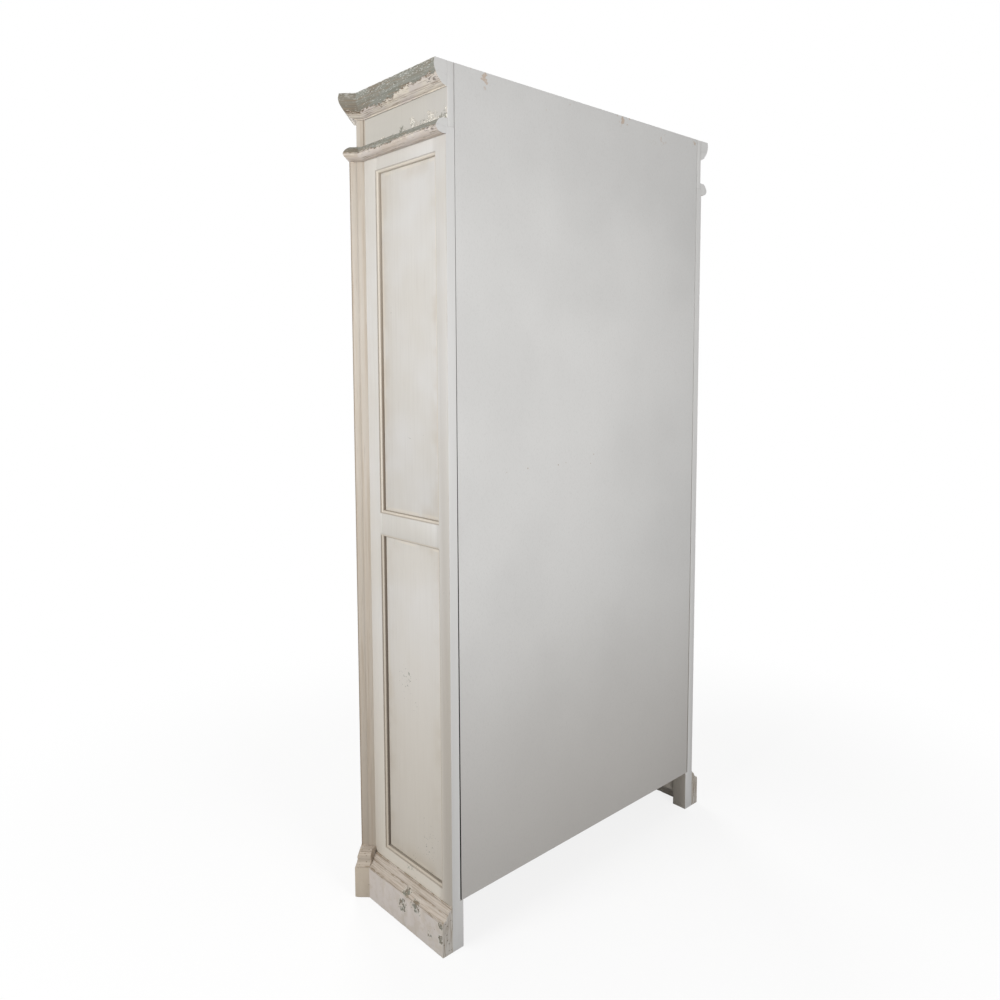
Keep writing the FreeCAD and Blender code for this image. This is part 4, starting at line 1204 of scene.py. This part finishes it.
# %% [markdown]
# Geometry Nodes carry the section along the path. A grid has one row for each station and one column for
# each point of the section, and every grid point looks both up.

# %% Reading and storing values in Geometry Nodes
def geometry_tree(name, inputs):
    """An empty geometry tree with named inputs."""
    tree = bpy.data.node_groups.new(name, "GeometryNodeTree")
    for label, kind in [("Geometry", "Geometry")] + inputs:
        tree.interface.new_socket(label, in_out="INPUT", socket_type="NodeSocket" + kind)
    tree.interface.new_socket("Geometry", in_out="OUTPUT", socket_type="NodeSocketGeometry")
    return tree, tree.nodes.new("NodeGroupInput").outputs, tree.nodes.new("NodeGroupOutput").inputs


def named(tree, label, kind="FLOAT"):
    """Reads a named value of the geometry."""
    return put(tree, "GeometryNodeInputNamedAttribute", {0: label}, data_type=kind).outputs[0]


def looked_up(tree, geometry, value, index, kind="FLOAT"):
    """Reads a value of another geometry at an index."""
    inputs = {0: geometry, 1: value, 2: index}
    return put(tree, "GeometryNodeSampleIndex", inputs, data_type=kind).outputs[0]


def stored(tree, geometry, label, value, kind="FLOAT"):
    """Keeps a value on the points under a name."""
    inputs = {"Geometry": geometry, "Name": label, "Value": value}
    return put(tree, "GeometryNodeStoreNamedAttribute", inputs, data_type=kind).outputs[0]


def swept_grid(tree, path, section, here):
    """The section carried along the path, with its run, crests and hollows kept on the points."""
    stations = put(tree, "GeometryNodeAttributeDomainSize", {0: path}).outputs[0]
    columns = put(tree, "GeometryNodeAttributeDomainSize", {0: section}).outputs[0]
    grid = put(tree, "GeometryNodeMeshGrid", {"Vertices X": stations, "Vertices Y": columns}).outputs[0]
    index = put(tree, "GeometryNodeInputIndex").outputs[0]
    row = put(tree, "FunctionNodeIntegerMath", {0: index, 1: columns}, operation="DIVIDE_FLOOR").outputs[0]
    column = put(tree, "FunctionNodeIntegerMath", {0: index, 1: columns}, operation="MODULO").outputs[0]
    station = looked_up(tree, path, here, row, "FLOAT_VECTOR")
    mitre = looked_up(tree, path, named(tree, "mitre", "FLOAT_VECTOR"), row, "FLOAT_VECTOR")
    along = looked_up(tree, path, named(tree, "along"), row)
    drawn = parts(tree, looked_up(tree, section, here, column, "FLOAT_VECTOR"))
    around = looked_up(tree, section, named(tree, "around"), column)
    crest = looked_up(tree, section, named(tree, "crest"), column)
    hollow = looked_up(tree, section, named(tree, "hollow"), column)
    lean = put(tree, "ShaderNodeVectorMath", {0: mitre, "Scale": drawn[0]}, operation="SCALE").outputs[0]
    spot = vector_calc(tree, "ADD", vector_calc(tree, "ADD", station, lean), joined(tree, 0.0, 0.0, drawn[2]))
    swept = put(tree, "GeometryNodeSetPosition", {0: grid, 2: spot}).outputs[0]
    swept = stored(tree, swept, "run", joined(tree, along, around, 0.0), "FLOAT_VECTOR")
    swept = stored(tree, swept, "crest", crest)
    return stored(tree, swept, "hollow", hollow)


print("readers for sweeps ready")

# %% [markdown]
# Seeded noise then knocks the crests back a little, so the arrises aren't ruler straight. The grid's normals
# point into the wood until its faces are turned, so a push along them goes inwards. One tree serves all the
# mouldings.

# %% The sweep in Geometry Nodes
def knocked_back(tree, swept, here, given):
    """The crests pushed in by seeded dents."""
    inputs = {"Vector": here, "W": given["Seed"], "Scale": given["Knock Scale"]}
    inputs.update({"Detail": 4.0, "Roughness": 0.6})
    dents = put(tree, "ShaderNodeTexNoise", inputs, noise_dimensions="4D").outputs[0]
    hit = calc(tree, "MULTIPLY", ramp(tree, dents, 0.5, 0.72), named(tree, "crest"))
    depth = calc(tree, "MULTIPLY", hit, given["Knock Depth"])
    normal = put(tree, "GeometryNodeInputNormal").outputs[0]
    push = put(tree, "ShaderNodeVectorMath", {0: normal, "Scale": depth}, operation="SCALE").outputs[0]
    return put(tree, "GeometryNodeSetPosition", {0: swept, 3: push}).outputs[0]


def moulding_tree():
    """Section and path to moulding."""
    sizes = [("Section", "Object"), ("Knock Depth", "Float"), ("Knock Scale", "Float"), ("Seed", "Float")]
    tree, given, wanted = geometry_tree("run_moulding", sizes + [("Paint", "Material")])
    section = put(tree, "GeometryNodeObjectInfo", {0: given["Section"]}).outputs["Geometry"]
    here = put(tree, "GeometryNodeInputPosition").outputs[0]
    swept = swept_grid(tree, given["Geometry"], section, here)
    knocked = knocked_back(tree, swept, here, given)
    real = put(tree, "GeometryNodeRealizeInstances", {0: knocked}).outputs[0]
    painted = put(tree, "GeometryNodeSetMaterial", {"Geometry": real, "Material": given["Paint"]}).outputs[0]
    tree.links.new(painted, wanted["Geometry"])
    return tree


run_moulding = moulding_tree()


def grown_from(start, tree, inputs):
    """Runs a geometry tree on an object and returns its result as a plain mesh."""
    bpy.context.scene.collection.objects.link(start)
    grower = start.modifiers.new("grow", "NODES")
    grower.node_group = tree
    for socket in tree.interface.items_tree:
        if socket.in_out == "INPUT" and socket.name in inputs:
            grower[socket.identifier] = inputs[socket.name]
    mesh = evaluated_mesh(start, start.name)
    start.modifiers.clear()
    bpy.data.objects.remove(start)
    return mesh


print(run_moulding.name, "has", len(run_moulding.nodes), "nodes")

# %% [markdown]
# The three mouldings follow. The plinth's cap is low along the sides and the front, and tall and steep round
# the corner posts, so it takes two sections. After the sweep the seam is merged and both ends are closed.

# %% Plinth, waist moulding and cornice
plinth_cap_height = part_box("plinth_front")[1].z - plinth_face_height
corner_cap_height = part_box("plinth_right")[1].z - plinth_face_height
corner_cap_projection = 0.014
waist_projection = 0.030
cornice_projection = 0.039
cornice_top_share = 0.94
plinth_cap_shares = (
    (0.94, 0.0, 0.0), (0.94, 0.1, 0.0), (0.5, 0.48, 0.2),
    (0.42, 0.48, 0.0), (0.1, 0.86, -0.16), (0.1, 1.0, 0.0),
)
corner_cap_shares = (
    (0.88, 0.0, 0.0), (0.88, 0.06, 0.0), (0.5, 0.44, 0.14),
    (0.16, 0.84, -0.14), (0.1, 0.84, 0.0), (0.1, 1.0, 0.0),
)
waist_crown_shares = (
    (0.5, 0.0, 0.0), (0.55, 0.04, 0.0), (0.9, 0.22, -0.12),
    (0.98, 0.3, 0.0), (1.0, 0.42, 0.0), (0.45, 0.96, -0.1),
)
cornice_shares = (
    (0.1, 0.0, 0.0), (0.1, 0.04, 0.0), (0.44, 0.13, -0.12), (0.5, 0.13, 0.0),
    (0.5, 0.17, 0.0), (0.87, 0.48, -0.05), (1.0, 0.78, -0.06),
)


def shaped(shares, projection, height, base_out, base_height):
    """Turns a table of shares into points of a section."""
    return [(base_out + a * projection, base_height + b * height, bulge) for a, b, bulge in shares]


def plinth_outline(cap):
    """A board on the floor under a cap."""
    board = [(0.0, 0.0, 0.0), (plinth_thickness, 0.0, 0.0), (plinth_thickness, plinth_face_height, 0.0)]
    return board + cap + [(0.0, cap[-1][1], 0.0)]


low_cap = shaped(plinth_cap_shares, plinth_thickness, plinth_cap_height, 0.0, plinth_face_height)
cap_start = plinth_thickness - corner_cap_projection
tall_cap = shaped(corner_cap_shares, corner_cap_projection, corner_cap_height, cap_start, plinth_face_height)
waist_crown = shaped(waist_crown_shares, waist_projection, waist_high - waist_low, 0.0, waist_low)
frieze_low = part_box("frieze_right")[0].z
cornice_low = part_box("cornice_front")[0].z
waist_ledge = [(-frieze_setback, waist_high, 0.0), (-frieze_setback, frieze_low, 0.0), (0.0, frieze_low, 0.0)]
waist_outline = [(0.0, waist_low, 0.0)] + waist_crown + waist_ledge
cornice_crown = shaped(cornice_shares, cornice_projection, top_z - cornice_low, 0.0, cornice_low)
cornice_end = [(cornice_top_share * cornice_projection, top_z, 0.0), (0.0, top_z, 0.0)]
cornice_outline = [(0.0, cornice_low, 0.0)] + cornice_crown + cornice_end

low_plinth = section_object("low_plinth_section", plinth_outline(low_cap))
tall_plinth = section_object("tall_plinth_section", plinth_outline(tall_cap))
waist_section = section_object("waist_section", waist_outline)
cornice_section = section_object("cornice_section", cornice_outline)


seam_weld = 2e-5
knock_scale = 55.0
plinth_knock = 0.0016
crown_knock = 0.002


def close_and_join(name, meshes):
    """Merges each sweep's seam, closes its ends and makes one mesh of them."""
    made = bmesh.new()
    for mesh in meshes:
        swept = bmesh.new()
        swept.from_mesh(mesh)
        bmesh.ops.remove_doubles(swept, verts=swept.verts, dist=seam_weld)
        bmesh.ops.holes_fill(swept, edges=[edge for edge in swept.edges if edge.is_boundary], sides=0)
        bmesh.ops.recalc_face_normals(swept, faces=swept.faces)
        swept.to_mesh(mesh)
        swept.free()
        made.from_mesh(mesh)
    whole = bpy.data.meshes.new(name)
    made.to_mesh(whole)
    made.free()
    return whole


def moulding(name, path, runs, material, knock_depth, seed):
    """One node's lengths of moulding. Each run is its first leg, its last leg and its section."""
    meshes = []
    for first, last, section in runs:
        start = path_object("%s_%d" % (name, first), path, first, last)
        inputs = {"Section": section, "Seed": seed, "Paint": material}
        inputs.update({"Knock Depth": knock_depth, "Knock Scale": knock_scale})
        meshes.append(grown_from(start, run_moulding, inputs))
    mesh = close_and_join("worn_" + name, meshes)
    return add_piece("worn_" + name, mesh, name, material)


low_runs = {
    "right": [(0, 0, low_plinth), (1, 3, tall_plinth)],
    "left": [(5, 7, tall_plinth), (8, 8, low_plinth)],
}
leg_ranges = {"right": (0, 3), "front": (4, 4), "left": (5, 8)}
for number, (end, (first, last)) in enumerate(leg_ranges.items()):
    seed = 3.0 + number
    plinth_runs = low_runs.get(end, [(first, last, low_plinth)])
    waist_runs = [(first, last, waist_section)]
    cornice_runs = [(first, last, cornice_section)]
    moulding("plinth_" + end, carcass_path, plinth_runs, plinth_finish, plinth_knock, seed)
    moulding("waist_moulding_" + end, carcass_path, waist_runs, waist_finish, crown_knock, seed + 10)
    moulding("cornice_" + end, frieze_path, cornice_runs, cornice_finish, crown_knock, seed + 20)

# %% [markdown]
# A turned knob, a key's shaft and a peg are all lathe work: half an outline, carried once round a line. The
# few points of the outline are joined by a smooth curve that passes through each of them, as a gouge would.

# %% Turned pieces
lathe_sides = 40
curve_steps = 4


def smooth_outline(rows):
    """More points on a smooth curve through the given ones."""
    points = [Vector(row) for row in rows]
    ends = [points[0]] + points + [points[-1]]
    dense = []
    for a, b, c, d in zip(ends, ends[1:], ends[2:], ends[3:]):
        for step in range(curve_steps):
            t = step / curve_steps
            bend = (2 * a - 5 * b + 4 * c - d) * t ** 2 + (3 * b - a - 3 * c + d) * t ** 3
            dense.append(b + ((c - a) * t + bend) / 2)
    return dense + [points[-1]]


def turned_into(made, outline, place_at, sides=lathe_sides):
    """Adds a closed turned shell. The outline is radius and height, and place_at puts it where it belongs."""
    rings = []
    for radius, height in outline:
        count = 1 if radius == 0 else sides
        angles = [2 * math.pi * side / sides for side in range(count)]
        spots = [Vector((radius * math.cos(angle), radius * math.sin(angle), height)) for angle in angles]
        rings.append([made.verts.new(place_at @ spot) for spot in spots])
    for lower, upper in zip(rings, rings[1:]):
        for side in range(sides):
            after = (side + 1) % sides
            corners = [lower[side % len(lower)], lower[after % len(lower)]]
            corners += [upper[after % len(upper)], upper[side % len(upper)]]
            made.faces.new(list(dict.fromkeys(corners)))


def finished_mesh(name, made):
    """A plain mesh with its faces turned outwards."""
    bmesh.ops.recalc_face_normals(made, faces=made.faces)
    mesh = bpy.data.meshes.new(name)
    made.to_mesh(mesh)
    made.free()
    return mesh


print("turned outline of", len(smooth_outline([(0.0, 0.0), (1.0, 0.0), (1.0, 1.0)])), "points")

# %% [markdown]
# The brass knobs have a thin rose against the wood, a waisted neck and a flattened ball, with a small bead
# where neck and rose meet.

# %% Knobs
knob_low, knob_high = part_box("door_knob_right")
door_face = door_low.y
knob_reach = door_face - knob_low.y
knob_head = (knob_high.x - knob_low.x) / 2
rose_outline = [(0.0, door_face - knob_high.y), (0.003, door_face - knob_high.y), (0.003, 0.0), (0.013, 0.0)]
rose_outline += [(0.013, 0.0009), (0.0124, 0.0016), (0.0112, 0.0018), (0.0108, 0.0026), (0.0096, 0.003)]
head_shares = [(0.42, 0.13), (0.37, 0.22), (0.42, 0.34), (0.7, 0.47), (0.94, 0.6), (1.0, 0.74)]
head_shares += [(0.93, 0.87), (0.62, 0.97)]
head_outline = [(a * knob_head, b * knob_reach) for a, b in head_shares]
knob_outline = rose_outline + smooth_outline(head_outline) + [(0.0, knob_reach)]
for hand in both:
    low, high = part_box("door_knob_" + hand)
    centre = Vector(((low.x + high.x) / 2, door_face, (low.z + high.z) / 2))
    made = bmesh.new()
    turned_into(made, knob_outline, Matrix.Translation(centre) @ Matrix.Rotation(math.pi / 2, 4, "X"))
    add_piece("dressed_door_knob_" + hand, finished_mesh("knob", made), "door_knob_" + hand, brass_finish)
print("knobs reach", round(knob_reach, 4), "from the doors")

# %% [markdown]
# The key has an oval ring to hold, a collar, a round shaft and a bit with a notch for the ward of the lock.
# The ring is a small round section carried along an oval.

# %% Key
key_low, key_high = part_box("key")
bow_radius = 0.0135
key_place = Vector(((key_low.x + key_high.x) / 2, key_low.y + bow_radius, key_high.z - bow_radius))
ring_thickness = 0.0019
ring_sides = 12
bit_setback = 0.0117
bit_half_thickness = 0.0012


def key_ring(made):
    """The oval ring, drawn in to a waist beside the shaft."""
    rounds = []
    for side in range(lathe_sides):
        angle = 2 * math.pi * side / lathe_sides
        out = Vector((0, math.cos(angle), math.sin(angle)))
        reach = (bow_radius - ring_thickness) * (1 - 0.1 * max(0.0, math.cos(angle)) ** 4)
        ring = []
        for step in range(ring_sides):
            swing = 2 * math.pi * step / ring_sides
            sideways = Vector((ring_thickness * math.sin(swing), 0, 0))
            outwards = out * (reach + ring_thickness * math.cos(swing))
            ring.append(made.verts.new(key_place + outwards + sideways))
        rounds.append(ring)
    for first, second in zip(rounds, rounds[1:] + rounds[:1]):
        for step in range(ring_sides):
            after = (step + 1) % ring_sides
            made.faces.new((first[step], first[after], second[after], second[step]))


def key_bit(made):
    """The notched bit at the shaft's end, inside the lock."""
    start = key_high.y - bit_setback
    corners = [(0.0, 0.0), (0.006, 0.0), (0.006, -0.01), (0.0038, -0.01)]
    corners += [(0.0038, -0.0075), (0.0022, -0.0075), (0.0022, -0.01), (0.0, -0.01)]
    sides = []
    for x in (key_place.x - bit_half_thickness, key_place.x + bit_half_thickness):
        sides.append([made.verts.new((x, start + y, key_place.z + z)) for y, z in corners])
    made.faces.new(sides[0])
    made.faces.new(sides[1])
    for index in range(len(corners)):
        after = (index + 1) % len(corners)
        made.faces.new((sides[0][index], sides[0][after], sides[1][after], sides[1][index]))


shaft_start = bow_radius - 2.2 * ring_thickness
shaft_length = key_high.y - key_place.y
shaft_outline = [(0.0, shaft_start), (0.0026, shaft_start), (0.003, 0.0128), (0.0042, 0.0142)]
shaft_outline += [(0.0042, 0.0158), (0.003, 0.0168), (0.003, 0.0182), (0.0039, 0.0188), (0.0039, 0.02)]
shaft_outline += [(0.003, 0.0208)]
shaft_outline += [(0.003, shaft_length - 0.0006), (0.0024, shaft_length), (0.0, shaft_length)]
made = bmesh.new()
key_ring(made)
key_bit(made)
turned_into(made, shaft_outline, Matrix.Translation(key_place) @ Matrix.Rotation(-math.pi / 2, 4, "X"), 24)
add_piece("dressed_key", finished_mesh("key", made), "key", iron_finish)
print("key shaft", round(shaft_length, 4), "long")

# %% [markdown]
# Pegs and screws repeat, so Geometry Nodes set them: one pattern is placed on each of a few points, leans
# the way that its point faces and gets its own seeded turn, because nobody lines up the slots of screws. The
# places come from the model: each separate solid of a node has its own limits.

# %% Setting repeated pieces
def setting_tree():
    """Points with a facing to real copies of one pattern."""
    inputs = [("Pattern", "Object"), ("Largest Turn", "Float"), ("Seed", "Int"), ("Metal", "Material")]
    tree, given, wanted = geometry_tree("set_repeated_pieces", inputs)
    pattern = put(tree, "GeometryNodeObjectInfo", {0: given["Pattern"]}).outputs["Geometry"]
    facing = named(tree, "facing", "FLOAT_VECTOR")
    lean = put(tree, "FunctionNodeAlignRotationToVector", {"Vector": facing}, axis="Z").outputs[0]
    chance = put(tree, "FunctionNodeRandomValue", {"Seed": given["Seed"]}, data_type="FLOAT").outputs[1]
    swing = joined(tree, 0.0, 0.0, calc(tree, "MULTIPLY", chance, given["Largest Turn"]))
    own_turn = put(tree, "FunctionNodeEulerToRotation", {0: swing}).outputs[0]
    turning = put(tree, "FunctionNodeRotateRotation", {0: lean, 1: own_turn}, rotation_space="LOCAL")
    placed = {"Points": given["Geometry"], "Instance": pattern, "Rotation": turning.outputs[0]}
    copies = put(tree, "GeometryNodeInstanceOnPoints", placed).outputs[0]
    real = put(tree, "GeometryNodeRealizeInstances", {0: copies}).outputs[0]
    finished = put(tree, "GeometryNodeSetMaterial", {"Geometry": real, "Material": given["Metal"]}).outputs[0]
    tree.links.new(finished, wanted["Geometry"])
    return tree


set_pieces = setting_tree()


def set_copies(name, spots, pattern, material, seed, largest_turn=2 * math.pi):
    """One mesh with a copy of the pattern at each place. A spot is a place and a facing."""
    values = {"facing": ("FLOAT_VECTOR", [tuple(facing) for _, facing in spots])}
    start = bpy.data.objects.new(name, mesh_with(name, [tuple(spot) for spot, _ in spots], [], values))
    inputs = {"Pattern": pattern, "Largest Turn": largest_turn, "Seed": seed, "Metal": material}
    return grown_from(start, set_pieces, inputs)


def solid_limits(node):
    """The lowest and highest corner of each separate solid of a node."""
    made = bmesh.new()
    made.from_mesh(merged_copy(node))
    waiting = set(made.verts)
    limits = []
    while waiting:
        edge_on = [waiting.pop()]
        spots = []
        while edge_on:
            vertex = edge_on.pop()
            spots.append(vertex.co.copy())
            beside = {edge.other_vert(vertex) for edge in vertex.link_edges} & waiting
            waiting -= beside
            edge_on += beside
        lowest = Vector([min(spot[axis] for spot in spots) for axis in range(3)])
        highest = Vector([max(spot[axis] for spot in spots) for axis in range(3)])
        limits.append([lowest, highest])
    made.free()
    return sorted(limits, key=lambda pair: [round(value, 4) for value in (pair[0].z, pair[0].y, pair[0].x)])


print("solids in the pegs' node", len(solid_limits("shelf_pegs")))

# %% [markdown]
# The shelves lie on beech pegs, four to a shelf, pushed into holes in the stiles. Their ends are chamfered so
# that they start easily in the holes.

# %% Shelf pegs
beech = srgb(196, 168, 132)


def peg_wood():
    """Plain beech with fine pores, a little dirty."""
    material, tree, position = start_finish("peg_wood")
    grain = noise(tree, vector_calc(tree, "MULTIPLY", position, (40, 700, 700)), 1.0, 3.0)
    colour = tint(tree, ramp(tree, grain, 0.4, 0.65), beech, bare_wood)
    specks = place(tree, speck_effect, Vector=position, Scale=600.0, Size=0.2, Share=0.3)["Mask"]
    colour = stain(tree, colour, brown, specks, 0.6)
    return end_finish(material, tree, colour, 0.6, grain, 0.0001)


peg_limits = solid_limits("shelf_pegs")
peg_radius = (peg_limits[0][1].z - peg_limits[0][0].z) / 2
peg_length = peg_limits[0][1].x - peg_limits[0][0].x
chamfer = 0.0007
peg_outline = [(0.0, 0.0), (peg_radius - chamfer, 0.0), (peg_radius, chamfer)]
peg_outline += [(peg_radius, peg_length - chamfer), (peg_radius - chamfer, peg_length), (0.0, peg_length)]
made = bmesh.new()
turned_into(made, peg_outline, Matrix.Identity(4), 20)
peg_pattern = bpy.data.objects.new("peg_pattern", finished_mesh("peg_pattern", made))
peg_spots = []
for low, high in peg_limits:
    inwards = -1 if low.x > 0 else 1
    start = high.x if inwards < 0 else low.x
    peg_spots.append((Vector((start, (low.y + high.y) / 2, (low.z + high.z) / 2)), Vector((inwards, 0, 0))))
peg_mesh = set_copies("dressed_shelf_pegs", peg_spots, peg_pattern, peg_wood(), 5)
add_piece("dressed_shelf_pegs", peg_mesh, "shelf_pegs", peg_mesh.materials[0])
print("pegs", len(peg_spots))

# %% [markdown]
# The screws are slotted and countersunk, so only the top of each head shows: a low dome that stands a tenth
# of a millimetre proud, cut by its slot. A head is a disc with two D-shaped halves on it, which leaves the
# slot open.

# %% Screws and pins
screw_radius = 0.0029
screw_proud = 0.0001
slot_depth = 0.0006
slot_half = 0.00035


def half_head(made, side):
    """One D-shaped half of a slotted head."""
    start = math.asin(slot_half / screw_radius)
    angles = [start + (math.pi - 2 * start) * step / 10 for step in range(11)]
    levels = ((-slot_depth, 1.0), (0.0, 0.97), (screw_proud, 0.85))
    rings = []
    for height, share in levels:
        spots = [(screw_radius * share * math.cos(a), screw_radius * share * math.sin(a)) for a in angles]
        rings.append([made.verts.new((x, side * max(y, slot_half), height)) for x, y in spots])
    for lower, upper in zip(rings, rings[1:]):
        for index in range(len(lower)):
            after = (index + 1) % len(lower)
            made.faces.new((lower[index], lower[after], upper[after], upper[index]))
    made.faces.new(rings[0])
    made.faces.new(rings[-1])


made = bmesh.new()
disc_outline = [(0.0, -0.0012), (0.0016, -0.0012), (screw_radius, -slot_depth), (0.0, -slot_depth)]
turned_into(made, disc_outline, Matrix.Identity(4), 20)
half_head(made, 1)
half_head(made, -1)
screw_pattern = bpy.data.objects.new("screw_pattern", finished_mesh("screw_pattern", made))
made = bmesh.new()
pin_outline = [(0.0, -0.0006), (0.0013, -0.0006), (0.0013, 0.0)]
pin_outline += [(0.0011, 0.0005), (0.0006, 0.0008), (0.0, 0.0009)]
turned_into(made, pin_outline, Matrix.Identity(4), 16)
pin_pattern = bpy.data.objects.new("pin_pattern", finished_mesh("pin_pattern", made))
print("screw head", len(screw_pattern.data.polygons), "faces, pin", len(pin_pattern.data.polygons))

# %% [markdown]
# Each hinge leaf has three screws in a zigzag, each keep of the rod bolts has two, and the lock, its plate
# and the strike have their own. The facing of a spot is the way that its head looks.

# %% Places of the screws
leaf_gap = 0.0008
leaf_zigzag = ((-0.027, 0.0065), (0.0, 0.0125), (0.027, 0.0065))
spots_of = {"root": [], "left_door": [], "right_door": []}
for hand, side in (("right", 1), ("left", -1)):
    leaves = (("hinge_frame_leaves_", "root", post_low.x - leaf_gap, -1),
              ("hinge_door_leaves_", hand + "_door", door_high.x + leaf_gap, 1))
    for node, body, face_x, facing in leaves:
        for low, high in solid_limits(node + hand):
            middle_z = (low.z + high.z) / 2
            for rise, back in leaf_zigzag:
                spot = Vector((side * face_x, door_face + back, middle_z + rise))
                spots_of[body].append((spot, Vector((side * facing, 0, 0))))
keep_inset = 0.0038
keep_thickness = 0.002
for low, high in solid_limits("rod_bolt_keeps"):
    plate_face = door_high.y + keep_thickness
    for x in (low.x + keep_inset, high.x - keep_inset):
        spots_of["left_door"].append((Vector((x, plate_face, (low.z + high.z) / 2)), Vector((0, 1, 0))))
case_low, case_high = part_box("lock_case")
case_middle = (case_low + case_high) / 2
plate_rise = (case_high.z - case_low.z) / 2 - 0.0035
case_rise = plate_rise - 0.0085
case_columns = (case_low.x + 0.007, case_high.x - 0.006)
for rise in (-1, 1):
    spot = Vector((case_low.x, case_middle.y, case_middle.z + rise * plate_rise))
    spots_of["right_door"].append((spot, Vector((-1, 0, 0))))
    for x in case_columns:
        spot = Vector((x, case_high.y, case_middle.z + rise * case_rise))
        spots_of["right_door"].append((spot, Vector((0, 1, 0))))
strike_low, strike_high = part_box("strike_plate")
strike_inset = 0.0055
for z in (strike_low.z + strike_inset, strike_high.z - strike_inset):
    spot = Vector((strike_high.x, (strike_low.y + strike_high.y) / 2, z))
    spots_of["left_door"].append((spot, Vector((1, 0, 0))))
print("screws", {body: len(spots) for body, spots in spots_of.items()})

# %% [markdown]
# Each moving body gets one mesh of screws, which moves with it. The pins of the escutcheon are brass, so they
# are a mesh of their own.

# %% Screws and pins on their bodies
def fasteners(name, body, mesh, material):
    """A mesh of screws or pins that moves with a body."""
    piece = bpy.data.objects.new(name, mesh)
    bpy.context.scene.collection.objects.link(piece)
    mesh.materials.clear()
    mesh.materials.append(material)
    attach(piece, body)
    print(name, len(mesh.polygons), "faces")


for seed, (body, spots) in enumerate(spots_of.items()):
    mesh = set_copies("screws_" + body, spots, screw_pattern, iron_finish, seed)
    fasteners("screws_" + body, body, mesh, iron_finish)
plate_low, plate_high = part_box("escutcheon")
pin_inset = 0.0045
middle_x = (plate_low.x + plate_high.x) / 2
pin_heights = (plate_low.z + pin_inset, plate_high.z - pin_inset)
pin_spots = [(Vector((middle_x, plate_low.y, z)), Vector((0, -1, 0))) for z in pin_heights]
pin_mesh = set_copies("pins_right_door", pin_spots, pin_pattern, brass_finish, 9)
fasteners("pins_right_door", "right_door", pin_mesh, brass_finish)

# %% [markdown]
# The floor is pale. It keeps the object's shadow but looks white to the camera, because it glows only where
# it is seen directly. For all other rays it is a plain grey, so that it throws little light upwards.

# %% Floor
def seen_directly(tree):
    """One where a ray comes from the camera, a mirror or clear glass."""
    path = put(tree, "ShaderNodeLightPath").outputs
    mirror = calc(tree, "MAXIMUM", path["Is Glossy Ray"], path["Is Transmission Ray"])
    return calc(tree, "MAXIMUM", path["Is Camera Ray"], mirror)


floor_size = 14.0
floor_mesh = bpy.data.meshes.new("floor")
half_floor = floor_size / 2
floor_corners = [(-half_floor, -half_floor, 0), (half_floor, -half_floor, 0), (half_floor, half_floor, 0)]
floor_mesh.from_pydata(floor_corners + [(-half_floor, half_floor, 0)], [], [(0, 1, 2, 3)])
floor = bpy.data.objects.new("floor", floor_mesh)
bpy.context.scene.collection.objects.link(floor)
floor_material = bpy.data.materials.new("pale_floor")
floor_material.use_nodes = True
floor_tree = floor_material.node_tree
floor_tree.nodes.clear()
floor_seen = seen_directly(floor_tree)
floor_tone = tint(floor_tree, floor_seen, (0.3, 0.3, 0.3, 1.0), (0.95, 0.95, 0.95, 1.0))
matt = put(floor_tree, "ShaderNodeBsdfDiffuse", {"Color": floor_tone}).outputs[0]
glow = put(floor_tree, "ShaderNodeEmission", {"Color": (1.0, 1.0, 1.0, 1.0), "Strength": 1.0}).outputs[0]
floor_place = put(floor_tree, "ShaderNodeTexCoord").outputs["Object"]
distance = put(floor_tree, "ShaderNodeVectorMath", {0: floor_place}, operation="LENGTH").outputs["Value"]
whiteness = calc(floor_tree, "MULTIPLY", floor_seen, ramp(floor_tree, distance, 0.9, 2.2, 0.82, 1.0))
mixed = put(floor_tree, "ShaderNodeMixShader", {0: whiteness, 1: matt, 2: glow}).outputs[0]
put(floor_tree, "ShaderNodeOutputMaterial", {0: mixed})
floor_mesh.materials.append(floor_material)
print("floor", floor_size, "wide")

# %% [markdown]
# The world is white to the camera and a soft grey light for the cupboard. Two lamps light the rear and the
# right side as in the photograph, where the light falls off towards the floor. A third stands further off, in
# front of the cupboard on its left, and serves the sides that the photograph doesn't show.

# %% World and lamps
world = bpy.data.worlds.new("studio")
bpy.context.scene.world = world
world.use_nodes = True
world_tree = world.node_tree
world_tree.nodes.clear()
plain_white = (1.0, 1.0, 1.0, 1.0)
ambient_strength = 0.31
ambient = put(world_tree, "ShaderNodeBackground", {0: plain_white, 1: ambient_strength}).outputs[0]
white = put(world_tree, "ShaderNodeBackground", {0: plain_white, 1: 1.0}).outputs[0]
sky = put(world_tree, "ShaderNodeMixShader", {0: seen_directly(world_tree), 1: ambient, 2: white}).outputs[0]
put(world_tree, "ShaderNodeOutputWorld", {0: sky})


def soft_lamp(name, place_at, aim, size, power):
    """A large square lamp that points at a spot."""
    data = bpy.data.lights.new(name, "AREA")
    data.size = size
    data.energy = power
    lamp = bpy.data.objects.new(name, data)
    lamp.location = place_at
    lamp.rotation_euler = (Vector(aim) - Vector(place_at)).to_track_quat("-Z", "Y").to_euler()
    bpy.context.scene.collection.objects.link(lamp)


soft_lamp("side_lamp", (3.4, -0.1, 1.9), (0.5, -0.1, 1.5), 1.2, 66.0)
soft_lamp("rear_lamp", (0.42, 2.7, 1.65), (0.1, 0.2, 1.3), 1.2, 43.0)
soft_lamp("front_lamp", (-1.8, -3.7, 2.1), (0.0, -0.2, 1.2), 2.0, 100.0)
bpy.context.scene.view_settings.view_transform = "Standard"
print("stage set")
